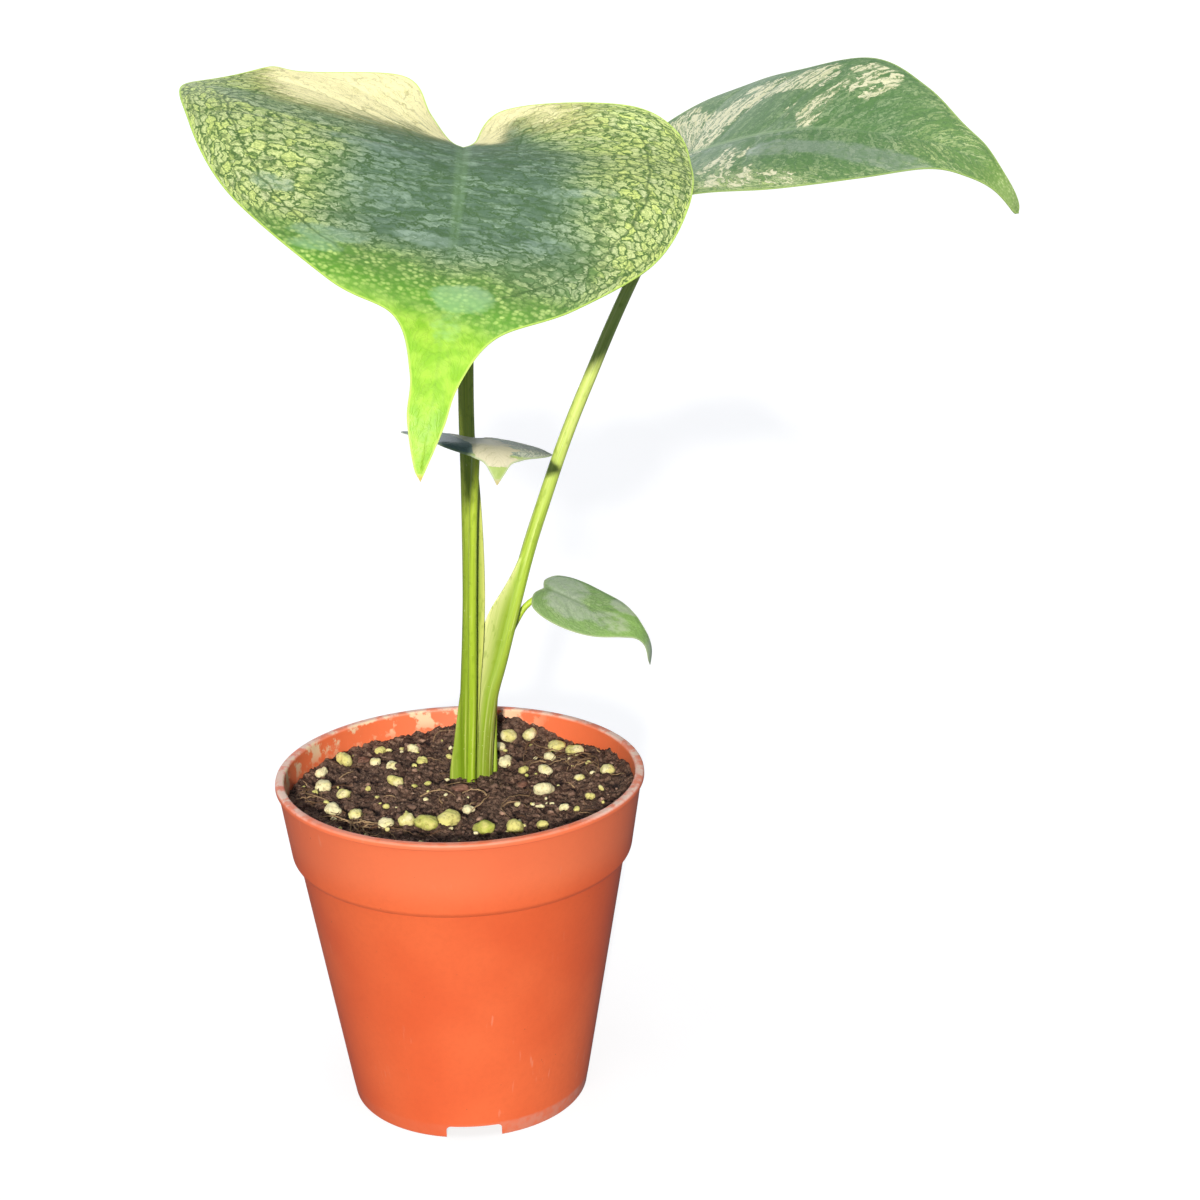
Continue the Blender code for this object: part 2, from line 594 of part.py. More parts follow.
def flat_blade(blade):
    """Flat points and triangles of a blade: staggered rows mirrored about the midrib's line."""
    outline = blade_outline(blade)
    spacing = 0.95 * blade["grid"]
    row_step = 0.87 * blade["grid"]
    midrib = [(0.0, along) for along in np.arange(1.0, 0.975 * blade["length"], 0.92 * row_step)]
    points = [tuple(point) for point in outline] + midrib
    lowest, widest = outline[:, 1].min(), np.abs(outline[:, 0]).max()
    for row, along in enumerate(np.arange(lowest, blade["length"], row_step)):
        stagger = 0.5 * (row % 2)
        for across in np.arange(0.65 + stagger, widest / spacing) * spacing:
            for point in ((across, along), (-across, along)):
                if inside(outline, np.array(point), 0.55 * blade["grid"]):
                    points.append(point)
    first = len(outline)
    midrib_edges = [(index, index + 1) for index in range(first, first + len(midrib) - 1)]
    border = [list(range(first))]
    made = delaunay_2d_cdt([Vector(point) for point in points], midrib_edges, border, 1, 1e-5)
    flat = np.array([tuple(point) for point in made[0]])
    return flat, made[2]


def make_blade(name, blade):
    """A thin shell: a top and a bottom sheet, joined by a thinner edge all round."""
    flat, triangles = flat_blade(blade)
    sides = [pair for corners in triangles for pair in zip(corners, corners[1:] + corners[:1])]
    border = [pair for pair in sides if pair[::-1] not in set(sides)]
    edge = {index for pair in border for index in pair}

    across, along = flat.T
    centre, normal = blade_frame(blade, across, along)
    above = np.full(len(flat), BLADE_THICKNESS / 2)
    above[sorted(edge)] = EDGE_THICKNESS / 2
    keel = [keel_depth(blade, place) if abs(off) < 1e-6 else 0.0 for off, place in flat]
    below = above + np.where(above < BLADE_THICKNESS / 2, 0.0, keel)
    points = np.vstack([centre + normal * above[:, None], centre - normal * below[:, None]])
    count = len(flat)
    faces = [list(corners) for corners in triangles]
    faces += [[count + index for index in reversed(corners)] for corners in triangles]
    faces += [[second, first, count + first, count + second] for first, second in border]
    add_object(name, points, faces, material(name, blade["colour"], 0.4))


clear_scene()
make_pot()
hollows = cutter_group("hollows in the soil")
make_petioles(hollows)
make_granules(hollows)
make_bark_chips(hollows)
make_soil(hollows)
for leaf_name, leaf in BLADES.items():
    make_blade(leaf_name, leaf)
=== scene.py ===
"""Looks of the potted young monstera: pot, soil, granules, stalks and leaf blades.

Lengths are in millimetres until a mesh is made, and the frame's own metres after that.
"""

import json
import math
from functools import partial
from types import SimpleNamespace

import bmesh
import bpy
import numpy as np
from mathutils import Matrix, Vector, kdtree, noise
from mathutils.geometry import delaunay_2d_cdt

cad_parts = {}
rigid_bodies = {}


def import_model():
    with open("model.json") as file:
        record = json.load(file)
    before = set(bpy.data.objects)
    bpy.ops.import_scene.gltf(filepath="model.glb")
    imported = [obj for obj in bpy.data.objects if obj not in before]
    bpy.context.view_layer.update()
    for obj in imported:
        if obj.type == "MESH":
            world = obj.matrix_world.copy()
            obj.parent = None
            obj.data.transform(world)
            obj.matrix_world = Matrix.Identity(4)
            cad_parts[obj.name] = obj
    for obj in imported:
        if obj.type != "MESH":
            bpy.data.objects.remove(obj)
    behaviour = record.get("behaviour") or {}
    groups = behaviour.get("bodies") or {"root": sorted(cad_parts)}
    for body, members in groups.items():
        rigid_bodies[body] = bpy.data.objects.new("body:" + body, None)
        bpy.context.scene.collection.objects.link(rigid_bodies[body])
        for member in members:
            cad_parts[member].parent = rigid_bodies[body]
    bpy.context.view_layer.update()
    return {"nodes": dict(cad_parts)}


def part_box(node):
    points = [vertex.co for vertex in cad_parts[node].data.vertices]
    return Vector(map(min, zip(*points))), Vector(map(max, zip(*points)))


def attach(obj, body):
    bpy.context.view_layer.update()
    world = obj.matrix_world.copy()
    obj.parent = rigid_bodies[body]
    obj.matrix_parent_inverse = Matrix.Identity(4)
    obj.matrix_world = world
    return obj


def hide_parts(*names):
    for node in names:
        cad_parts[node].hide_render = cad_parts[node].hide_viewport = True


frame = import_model()

MM = 0.001


# Nursery pot -------------------------------------------------------------------------------------
# A thin-walled pot of terracotta-coloured polypropylene, injection moulded in one shot: tapered
# body, wider collar with a drip edge, rolled rim, foot ring with three drainage notches.

POT_SEGMENTS = 168
POT_SHARP = 35
RIM_RADIUS = 60.0
RIM_WIDTH = 3.0
POT_HEIGHT = 112.8
WALL = 1.1
COLLAR_TOP_RADIUS = 59.1
COLLAR_BOTTOM_RADIUS = 55.7
COLLAR_BOTTOM = 87.6
SHOULDER = 86.2
BODY_TOP_RADIUS = 53.5
BODY_BOTTOM_RADIUS = 40.1
BODY_BOTTOM = 5.5
FOOT_RADIUS = 39.3
FOOT_WIDTH = 2.0
CHANNEL_HEIGHT = 5.0
PAD_RADIUS = 25.2
NOTCH_SIZE = (18.0, 4.5)
NOTCH_CORNER = 1.5
NOTCH_ANGLES = (-86.0, 34.0, 154.0)
DRAIN_HOLE_RADIUS = 2.5
DRAIN_HOLE_CIRCLE = 31.0
DRAIN_HOLES = 6


def linear(code):
    """An sRGB hex colour as linear RGBA."""
    levels = [int(code[index:index + 2], 16) / 255 for index in (1, 3, 5)]
    return (*(v / 12.92 if v <= 0.04045 else ((v + 0.055) / 1.055) ** 2.4 for v in levels), 1.0)


USUAL_SETTINGS = {"MapRange": {"interpolation_type": "SMOOTHSTEP"}, "Mix": {"data_type": "RGBA"}}


def node(tree, kind, *inputs, out=None, **settings):
    """Adds a node and returns one of its outputs, by default the first one that it shows. Inputs
    are values, hex colours or other nodes' outputs, in the order in which the node shows them."""
    kind, *operation = kind.split()
    made = tree.nodes.new("ShaderNode" + kind)
    for name, value in {**USUAL_SETTINGS.get(kind, {}), **settings}.items():
        setattr(made, name, value)
    if operation:
        made.operation = operation[0]
    for socket, value in zip([socket for socket in made.inputs if socket.enabled], inputs):
        if isinstance(value, bpy.types.NodeSocket):
            tree.links.new(value, socket)
        else:
            socket.default_value = linear(value) if isinstance(value, str) else value
    if out is None:
        return next(socket for socket in made.outputs if socket.enabled)
    return made.outputs[out]


def new_skin(name, roughness, **sockets):
    """A material with its shader's constant values set, and the function that adds its nodes."""
    skin = bpy.data.materials.new(name)
    skin.use_nodes = True
    shader = skin.node_tree.nodes["Principled BSDF"]
    shader.inputs["Roughness"].default_value = roughness
    for socket, value in sockets.items():
        shader.inputs[socket.replace("_", " ")].default_value = value
    return skin, partial(node, skin.node_tree)


def layered(add, colour, *layers):
    """Colours laid over a ground in turn. A layer is a pattern, two levels of it, the layer's share
    at each of them, and its colour."""
    for pattern, low, high, start, end, over in layers:
        colour = add("Mix", add("MapRange", pattern, low, high, start, end), colour, over)
    return colour


def faded(add, share, *fades):
    """A share times smooth steps, each a pattern, two levels of it and the factors at them."""
    for fade in fades:
        share = add("Math MULTIPLY", share, add("MapRange", *fade))
    return share


def finished(skin, colour, roughness=None, height=None, depth=0.1):
    """The material with its colour, roughness and a bump of depth millimetres linked."""
    tree = skin.node_tree
    sockets = tree.nodes["Principled BSDF"].inputs
    tree.links.new(colour, sockets["Base Color"])
    if roughness:
        tree.links.new(roughness, sockets["Roughness"])
    if height:
        bumpy = node(tree, "Bump")
        bumpy.node.inputs["Distance"].default_value = depth * MM
        tree.links.new(height, bumpy.node.inputs["Height"])
        tree.links.new(bumpy, sockets["Normal"])
    return skin


def placed(name, data):
    """An object with this data, in the scene."""
    made = bpy.data.objects.new(name, data)
    bpy.context.scene.collection.objects.link(made)
    return made


def smooth_object(name, points, faces, skins):
    """A smooth-shaded object from points in millimetres."""
    mesh = bpy.data.meshes.new(name)
    mesh.from_pydata((np.asarray(points) * MM).tolist(), [], [list(map(int, face)) for face in faces])
    for skin in skins:
        mesh.materials.append(skin)
    mesh.shade_smooth()
    return placed(name, mesh)


def new_piece(name, points, faces, skins, slot, replaced=(), attributes=None, *, sharp):
    """A piece of the plant, riding on the only body, with what its materials need at each point.
    Edges that turn by more than sharp degrees are shaded as edges."""
    made = smooth_object(name, points, faces, skins)
    for key, values in (attributes or {}).items():
        values = np.asarray(values, np.float32)
        kind, field = ("FLOAT_VECTOR", "vector") if values.ndim == 2 else ("FLOAT", "value")
        made.data.attributes.new(key, kind, "POINT").data.foreach_set(field, values.ravel())
    made.data.set_sharp_from_angle(angle=math.radians(sharp))
    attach(made, "root")
    if replaced:
        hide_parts(*replaced)
    return made


def rounded(profile, steps=5):
    """The profile's corners (radius, z, fillet) as arcs of the fillet's radius."""
    points = []
    for index, (x, z, fillet) in enumerate(profile):
        corner = np.array((x, z))
        if fillet == 0 or index in (0, len(profile) - 1):
            points.append(corner)
            continue
        before = np.array(profile[index - 1][:2]) - corner
        after = np.array(profile[index + 1][:2]) - corner
        reach = min(fillet, 0.45 * np.linalg.norm(before), 0.45 * np.linalg.norm(after))
        start = corner + before / np.linalg.norm(before) * reach
        end = corner + after / np.linalg.norm(after) * reach
        for t in np.linspace(0, 1, steps):
            points.append((1 - t) ** 2 * start + 2 * t * (1 - t) * corner + t**2 * end)
    return np.array(points)


def circle(radius, z, count, centre=(0, 0)):
    """Points round a circle at height z."""
    return [(centre[0] + radius * math.cos(turn), centre[1] + radius * math.sin(turn), z)
            for turn in np.arange(count) * 2 * math.pi / count]


def strips(rings, count, first=0, downwards=False):
    """Faces between neighbouring rings of count points, in rings that run upwards or downwards."""
    faces = []
    for ring in range(rings - 1):
        for step in range(count):
            low, after = (first + ring * count + index for index in (step, (step + 1) % count))
            faces.append([low, low + count, after + count, after] if downwards
                         else [low, after, after + count, low + count])
    return faces


def turned_faces(rings, count):
    """Faces of rings of points that close on two points on the axis, which come first."""
    faces = strips(rings, count, 2, downwards=True)
    last = 2 + (rings - 1) * count
    for step in range(count):
        after = (step + 1) % count
        faces += [[0, 2 + step, 2 + after], [1, last + after, last + step]]
    return faces


def tube_faces(rings, count):
    """Faces of a tube of rings with flat ends."""
    last = (rings - 1) * count
    return [list(range(count))[::-1], list(range(last, last + count)), *strips(rings, count)]


def bar_along(bearing, near, far, section):
    """Points and faces of a bar laid radially, from a section of (across, z)."""
    east, north = math.cos(math.radians(bearing)), math.sin(math.radians(bearing))
    points = [(distance * east - across * north, distance * north + across * east, z)
              for distance in (near, far) for across, z in section]
    return points, tube_faces(2, len(section))


def cut_out(target, shapes):
    """Subtracts closed shapes (points and faces) from a piece and keeps the result as its mesh."""
    cutters = bpy.data.collections.new("cutters")
    for points, faces in shapes:
        mesh = bpy.data.meshes.new("cutter")
        mesh.from_pydata((np.asarray(points) * MM).tolist(), [], faces)
        shape = bmesh.new()
        shape.from_mesh(mesh)
        bmesh.ops.recalc_face_normals(shape, faces=shape.faces)
        shape.to_mesh(mesh)
        shape.free()
        cutters.objects.link(bpy.data.objects.new("cutter", mesh))
    bpy.context.scene.collection.children.link(cutters)
    cut = target.modifiers.new("cut", "BOOLEAN")
    cut.operand_type, cut.collection, cut.solver = "COLLECTION", cutters, "EXACT"
    bpy.context.view_layer.update()
    result = bpy.data.meshes.new_from_object(target.evaluated_get(bpy.context.evaluated_depsgraph_get()))
    target.modifiers.clear()
    target.data = result
    for cutter in list(cutters.objects):
        bpy.data.objects.remove(cutter, do_unlink=True)
    bpy.data.collections.remove(cutters)


def pot_profile():
    """From the middle of the floor up the inside, over the rim and down to the middle below, as
    corners (radius, z, fillet)."""
    floor = CHANNEL_HEIGHT + WALL
    lip = RIM_RADIUS - RIM_WIDTH
    inner_foot = FOOT_RADIUS - FOOT_WIDTH
    return rounded([
        (0, WALL, 0), (PAD_RADIUS - 1, WALL, 0.6), (PAD_RADIUS, floor, 0.8),
        (BODY_BOTTOM_RADIUS - WALL - 0.4, floor, 1.2), (BODY_TOP_RADIUS - WALL, SHOULDER, 0.8),
        (COLLAR_BOTTOM_RADIUS - WALL, SHOULDER + 2.2, 0.8), (lip - 0.2, POT_HEIGHT - 2.4, 0.6),
        (lip, POT_HEIGHT, 0.9), (RIM_RADIUS - 0.1, POT_HEIGHT, 1.2),
        (RIM_RADIUS, POT_HEIGHT - 1.9, 0.5), (COLLAR_TOP_RADIUS, POT_HEIGHT - 2.1, 0.3),
        (COLLAR_BOTTOM_RADIUS, COLLAR_BOTTOM, 1.1),
        (COLLAR_BOTTOM_RADIUS - 0.9, COLLAR_BOTTOM - 1.3, 0.4),
        (BODY_TOP_RADIUS, COLLAR_BOTTOM - 1.5, 0.25), (BODY_BOTTOM_RADIUS, BODY_BOTTOM, 0.5),
        (FOOT_RADIUS - 0.2, 0, 0.5), (inner_foot + 0.3, 0, 0.4), (inner_foot, CHANNEL_HEIGHT, 0.6),
        (PAD_RADIUS + 0.8, CHANNEL_HEIGHT, 0.6), (PAD_RADIUS, 0, 0.5), (0, 0, 0)])


def moulded_polypropylene():
    """Injection-moulded polypropylene: a satin orange with fine pale scuffs, a painted highlight on the
    collar and a painted highlight line along the rim's crest, paler in blotches at the foot, with the
    chalky bloom that hard water leaves on the rim and the inside of the collar."""
    skin, add = new_skin("moulded_polypropylene", 0.5, IOR=1.55, Specular_IOR_Level=0.65)
    place = add("TexCoord", out="Object")
    east, north, up = add("SeparateXYZ", place, out=slice(3))
    # Places are in metres here, so a scale of 1000 / 45 makes a pattern about 45 mm wide.
    cloudy = add("TexNoise", place, 1000 / 45, 2, 0.55)
    mottle = add("TexNoise", place, 1000 / 2.2, 4, 0.7)
    # The collar's lighter orange is a painted highlight, standing in for the sheen that light puts on it.
    colour = layered(add, "#EA602B", (cloudy, 0.3, 0.7, 0, 1, "#F46E37"),
                     (mottle, 0.35, 0.75, 0, 0.22, "#DB5828"),
                     (up, (COLLAR_BOTTOM - 1) * MM, (COLLAR_BOTTOM + 12) * MM, 0, 0.42, "#FF8A5C"))
    # Fine upright scuffs from pots slid into each other, and a few dark specks.
    scuffs = add("TexNoise", add("VectorMath MULTIPLY", place, (1, 1, 0.035)), 1000 / 1.6, 2, 0.5)
    scuffed = faded(add, add("MapRange", scuffs, 0.66, 0.76),
                    (add("TexNoise", place, 1000 / 30, 2, 0.55), 0.5, 0.62))
    colour = add("Mix", add("Math MULTIPLY", scuffed, 0.35), colour, "#F7A384")
    specks = add("TexNoise", place, 1000 / 1.3, 1, 0.55)
    colour = layered(add, colour, (specks, 0.79, 0.83, 0, 0.5, "#9A4A2C"))
    # Chalky bloom on the rim, heavier at the back and at the sides.
    bloom = add("TexNoise", place, 1000 / 7, 5, 0.65)
    sideways = add("Math ABSOLUTE", add("Math ADD", east, 2 * MM))
    away = add("Math MAXIMUM", add("MapRange", north, -40 * MM, -10 * MM, 0.2, 0.9),
               add("MapRange", sideways, 35 * MM, 52 * MM))
    on_rim = add("MapRange", up, (POT_HEIGHT - 0.9) * MM, (POT_HEIGHT - 0.1) * MM)
    rim_bloom = add("Math MULTIPLY", faded(add, on_rim, (bloom, 0.42, 0.56, 0.15, 0.95)), away)
    colour = add("Mix", rim_bloom, colour, "#F7D8C6")
    # A painted highlight: a lighter line along the very crest of the rim.
    crest_highlight = add("Math ABSOLUTE", add("Math SUBTRACT", up, (POT_HEIGHT - 0.4) * MM))
    colour = layered(add, colour, (crest_highlight, 0.1 * MM, 0.4 * MM, 0.3, 0, "#FFA083"))
    # Smears of it on the inside of the collar at the back left.
    radius = add("VectorMath LENGTH", add("VectorMath MULTIPLY", place, (1, 1, 0)))
    slope = (RIM_RADIUS - RIM_WIDTH - COLLAR_BOTTOM_RADIUS + WALL) / (POT_HEIGHT - COLLAR_BOTTOM)
    wall_middle = add("Math MULTIPLY_ADD", up, slope,
                      (COLLAR_BOTTOM_RADIUS - WALL / 2 - COLLAR_BOTTOM * slope) * MM)
    back_left = add("Math SUBTRACT", north, add("Math MULTIPLY", east, 0.9))
    smear = faded(add, add("MapRange", bloom, 0.5, 0.57),
                  (up, (POT_HEIGHT - 10.3) * MM, (POT_HEIGHT - 2.3) * MM), (back_left, 18 * MM, 50 * MM))
    smear = add("Math MULTIPLY", smear, add("Math LESS_THAN", radius, wall_middle))
    colour = add("Mix", add("Math MULTIPLY", smear, 0.85), colour, "#F3DCB4")
    # The foot is paler in blotches, most of all towards its right side.
    pale_foot = faded(add, add("MapRange", up, (BODY_BOTTOM - 1) * MM, (BODY_BOTTOM + 0.3) * MM, 1, 0),
                 (east, -12 * MM, 30 * MM, 0.15, 1),
                 (add("TexNoise", place, 1000 / 4, 4, 0.7), 0.35, 0.6, 0.25, 0.75))
    colour = add("Mix", pale_foot, colour, "#E3957C")
    roughness = add("MapRange", add("Math MAXIMUM", rim_bloom, smear), 0.2, 0.9, 0.56, 0.8)
    height = add("Math ADD", mottle, add("TexNoise", place, 1000 / 0.5, 2, 0.55))
    return finished(skin, colour, roughness, height, 0.012)


profile = pot_profile()
pot_points = [(0, 0, profile[0][1]), (0, 0, profile[-1][1])]
for radius, z in profile[1:-1]:
    pot_points += circle(radius, z, POT_SEGMENTS)
pot = new_piece("pot_body", pot_points, turned_faces(len(profile) - 2, POT_SEGMENTS),
                [moulded_polypropylene()], "nursery_pot", ["nursery_pot"], sharp=POT_SHARP)
notch_half, notch_top = NOTCH_SIZE[0] / 2, NOTCH_SIZE[1]
arch = [(-notch_half, -1), (notch_half, -1)]
for side, start in ((1, 0), (-1, math.pi / 2)):
    arch += [(side * (notch_half - NOTCH_CORNER) + NOTCH_CORNER * math.cos(t),
              notch_top - NOTCH_CORNER + NOTCH_CORNER * math.sin(t))
             for t in np.linspace(start, start + math.pi / 2, 6)]
holes = [bar_along(bearing, FOOT_RADIUS - FOOT_WIDTH - 3, FOOT_RADIUS + 3, arch)
         for bearing in NOTCH_ANGLES]
for hole in range(DRAIN_HOLES):
    turn = math.radians(NOTCH_ANGLES[0] + 360 * (hole + 0.5) / DRAIN_HOLES)
    centre = DRAIN_HOLE_CIRCLE * math.cos(turn), DRAIN_HOLE_CIRCLE * math.sin(turn)
    tube = [place for z in (CHANNEL_HEIGHT - 1, CHANNEL_HEIGHT + WALL + 1)
            for place in circle(DRAIN_HOLE_RADIUS, z, 24, centre)]
    holes.append((tube, tube_faces(2, 24)))
cut_out(pot, holes)
pot.data.set_sharp_from_angle(angle=math.radians(POT_SHARP))


# Potting soil ------------------------------------------------------------------------------------
# Moist peat and coir: dark crumbs of 1 to 3 mm pressed into an uneven surface, banked up against
# the wall behind the stalks, with loose crumbs, root fibres and bits of straw lying on it.

SOIL_LEVEL = 103.6
# Bearing, height and half width of each bank against the wall.
SOIL_BANKS = ((80.0, 6.0, 16.0), (12.0, 3.0, 26.0))
BANK_START = 30.0
BANK_WIDTH = 26.0
SOIL_GAP = 0.3
SOIL_RINGS = 124
SOIL_SEGMENTS = 680
CRUMBS = 520
CRUMB_SIZES = (0.6, 2.6)
FIBRES = 130
STREWN_RADIUS = 53.5
# Middle and clear radius round each stalk's foot.
STALK_FEET = [(1.4, 17.0, 6.5), (7.5, 20.0, 5.5), (2.7, 12.0, 2.4)]


def soil_height(x, y):
    """Height of the bare surface at a place, before its crumbs."""
    bearing = math.degrees(math.atan2(y, x))
    edge = min(max((math.hypot(x, y) - BANK_START) / BANK_WIDTH, 0.0), 1.0)
    rise = 1.5
    for middle, height, half_width in SOIL_BANKS:
        rise += height * math.exp(-((bearing - middle) / half_width) ** 2)
    return SOIL_LEVEL + 0.5 * math.sin(x / 9.0 + 1.0) * math.cos(y / 7.0) + rise * edge**2


def crumb_height(x, y):
    """Round crumbs of three sizes above and below the bare surface."""
    bend = noise.noise(Vector((x / 3, y / 3, 9.0)))
    height = 0.0
    for size, share in ((4.6, 0.24), (2.5, 0.3), (1.3, 0.42)):
        place = Vector(((x + bend) / size, (y - bend) / size, size))
        near = noise.voronoi(place, distance_metric="DISTANCE")[0]
        dome = math.sqrt(max(0.0, 1 - (near[0] / 0.75) ** 2))
        height += size * share * (dome - 0.62)
    rough = noise.fractal(Vector((x / 2.4, y / 2.4, 2.0)), 0.55, 2.1, 5)
    return height + 0.75 * rough + 0.8 * noise.fractal(Vector((x / 9, y / 9, 4.0)), 1.0, 2.0, 3)


def moist_peat():
    """Moist peat and coir: matt and dark, black-brown in the hollows, partly damp peat and partly
    painted shade, and a dry brown on the crumbs that stand up, with pale dry flecks."""
    skin, add = new_skin("moist_peat", 0.95, Specular_IOR_Level=0.25)
    place = add("TexCoord", out="Object")
    pick = add("SeparateColor", add("TexVoronoi", place, 1000 / 1.6, out="Color"))
    # The last layer darkens the hollows between the crumbs: partly damp peat, partly painted shade.
    colour = layered(
        add, "#583F34", (pick, 0.1, 0.9, 0, 1, "#876A58"),
        (add("TexNoise", place, 1000 / 9, 3, 0.55), 0.42, 0.62, 0, 0.65, "#675246"),
        (add("TexNoise", place, 1000 / 1.4, 5, 0.8), 0.55, 0.64, 0, 0.85, "#BC9C84"),
        (add("TexNoise", place, 1000, 4, 0.7), 0.38, 0.5, 0.85, 0, "#261A18"),
        (add("Attribute", attribute_name="dry", out="Fac"), 0, 0.55, 0.9, 0, "#21171A"))
    return finished(skin, colour, None, add("TexNoise", place, 1000 / 0.9, 5, 0.75), 0.7)


def soil_mesh():
    """Crumbly top, and the plain body of the soil down to the pot's floor, with how high each
    place's crumbs stand, which darkens the hollows as damp peat and as painted shade."""
    wall_slope = (RIM_RADIUS - RIM_WIDTH - COLLAR_BOTTOM_RADIUS + WALL) / (POT_HEIGHT - 3.0 - COLLAR_BOTTOM)
    points, dry = [(0, 0, soil_height(0, 0)), (0, 0, WALL + SOIL_GAP)], [0.5, 0.5]
    edge = COLLAR_BOTTOM_RADIUS - WALL - 0.25
    for ring in range(1, SOIL_RINGS + 1):
        share = ring / SOIL_RINGS
        for east, north, _ in circle(1.0, 0.0, SOIL_SEGMENTS):
            base = soil_height(edge * east, edge * north)
            limit = edge + (base - COLLAR_BOTTOM - 0.8) * wall_slope
            x, y = share * limit * east, share * limit * north
            crumbs = crumb_height(x, y)
            points.append((x, y, soil_height(x, y) + crumbs))
            dry.append(0.5 + 0.5 * crumbs)
    floor = CHANNEL_HEIGHT + WALL + SOIL_GAP
    below = ((edge, COLLAR_BOTTOM + 0.9), (BODY_TOP_RADIUS - WALL - SOIL_GAP, SHOULDER),
             (BODY_BOTTOM_RADIUS - WALL - 0.7, floor), (PAD_RADIUS - 1.3, WALL + SOIL_GAP))
    for radius, z in below:
        points += circle(radius, z, SOIL_SEGMENTS)
    dry += [0.5] * (len(points) - len(dry))
    return points, turned_faces(SOIL_RINGS + len(below), SOIL_SEGMENTS), dry


bed_points, bed_faces, bed_dry_and_shade = soil_mesh()
new_piece("peat_bed", bed_points, bed_faces, [moist_peat()], "potting_soil", ["potting_soil"],
          {"dry": bed_dry_and_shade}, sharp=75)


def ball(detail):
    """Points and faces of a sphere of radius 1."""
    sphere = bmesh.new()
    bmesh.ops.create_icosphere(sphere, subdivisions=detail, radius=1.0)
    points = np.array([vert.co[:] for vert in sphere.verts])
    faces = [[vert.index for vert in face.verts] for face in sphere.faces]
    sphere.free()
    return points, faces


def lump(rng, sizes, detail, planes, power):
    """A lump with rounded facets: a sphere's points pulled onto planes of random distance."""
    points, faces = ball(detail)
    normals = rng.normal(size=(planes, 3))
    normals /= np.linalg.norm(normals, axis=1)[:, None]
    distance = rng.uniform(0.72, 1.0, planes)
    facing = np.clip(points @ normals.T, 0, None) / distance
    radius = np.maximum((facing**power).sum(1), 1e-6) ** (-1 / power)
    radius = np.minimum(radius, 1.25)
    points = points * radius[:, None]
    points *= np.array(sizes) / np.ptp(points, axis=0)
    return points, faces


def turned_by(points, angle, tip=0.0):
    """Points turned about Z and then tipped about X."""
    turn = Matrix.Rotation(tip, 3, "X") @ Matrix.Rotation(angle, 3, "Z")
    return points @ np.array(turn).T


def crumb(rng, sizes, detail):
    """A crumb: a lump with a torn, fibrous surface."""
    points, faces = lump(rng, sizes, detail, 8, 5.0)
    seed = Vector(rng.uniform(-50, 50, 3))
    reach = float(np.max(sizes))
    torn = [noise.fractal(Vector(point) * (2.6 / reach) + seed, 0.6, 2.2, 4) for point in points]
    return points * (1 + 0.38 * np.array(torn))[:, None], faces


def together(shapes):
    """Many small shapes (points, faces, tone) as one."""
    points, faces, tones, total = [], [], [], 0
    for shape, corners, tone in shapes:
        points.append(shape)
        faces += [[index + total for index in face] for face in corners]
        tones.append(np.full(len(shape), tone))
        total += len(shape)
    return np.vstack(points), faces, np.concatenate(tones)


def scatter(rng, count, sizes, detail, lift, avoid, shaped):
    """Small lumps strewn over the soil, clear of the given (x, y, radius) places."""
    for _ in range(count):
        size = rng.uniform(*sizes)
        for _ in range(40):
            radius, bearing = STREWN_RADIUS * math.sqrt(rng.uniform(0, 1)), rng.uniform(0, 2 * math.pi)
            x, y = radius * math.cos(bearing), radius * math.sin(bearing)
            if all(math.hypot(x - a, y - b) > reach + size / 2 for a, b, reach in avoid):
                break
        shape, corners = shaped(rng, size * rng.uniform((0.8, 0.65, 0.5), (1.3, 1.0, 0.9)), detail)
        shape = turned_by(shape, rng.uniform(0, 6.28), rng.uniform(-0.5, 0.5))
        z = soil_height(x, y) + max(crumb_height(x, y), -0.3) + lift * size
        yield shape + (x, y, z), corners, rng.uniform(0, 1)


def loose_crumb_skin():
    """Dry crumbs of peat and coir pith, from near black to a light reddish brown."""
    skin, add = new_skin("dry_coir_pith", 0.95, Specular_IOR_Level=0.2)
    place = add("TexCoord", out="Object")
    tone = add("Attribute", attribute_name="tone", out="Fac")
    fine = add("TexNoise", place, 1000 / 0.8, 3, 0.7)
    colour = layered(add, "#48342C", (tone, 0.1, 0.8, 0, 1, "#84695A"), (tone, 0.84, 0.97, 0, 1, "#B8957F"),
                     (fine, 0.35, 0.6, 0.5, 0, "#241815"))
    return finished(skin, colour, None, fine, 0.25)


crumb_points, crumb_faces, crumb_tones = together(
    scatter(np.random.default_rng(5), CRUMBS, CRUMB_SIZES, 2, 0.05, STALK_FEET, crumb))
new_piece("loose_crumbs", crumb_points, crumb_faces, [loose_crumb_skin()], "potting_soil",
          attributes={"tone": crumb_tones}, sharp=80)


def thread(route, radii, sides=5):
    """A thin closed tube along a route of points, with a radius at each."""
    route = np.asarray(route, float)
    ahead = np.gradient(route, axis=0)
    ahead /= np.linalg.norm(ahead, axis=1)[:, None]
    side = np.cross(ahead, (0.13, 0.21, 1.0))
    side /= np.linalg.norm(side, axis=1)[:, None]
    up = np.cross(side, ahead)
    points = []
    for centre, a, b, radius in zip(route, side, up, radii):
        for step in range(sides):
            angle = 2 * math.pi * step / sides
            points.append(centre + radius * (a * math.cos(angle) + b * math.sin(angle)))
    return points, tube_faces(len(route), sides)


def coir_fibre_skin():
    """Coir and dead root fibres: thin, dry and straw-brown, some of them bleached."""
    skin, add = new_skin("coir_fibre", 0.8, Specular_IOR_Level=0.3)
    place = add("TexCoord", out="Object")
    tone = add("Attribute", attribute_name="tone", out="Fac")
    colour = layered(add, "#6B4A33", (tone, 0, 1, 0, 1, "#C9A97E"),
                     (add("TexNoise", place, 1000 / 2, 3, 0.55), 0.4, 0.65, 0.5, 0, "#4A3324"))
    return finished(skin, colour)


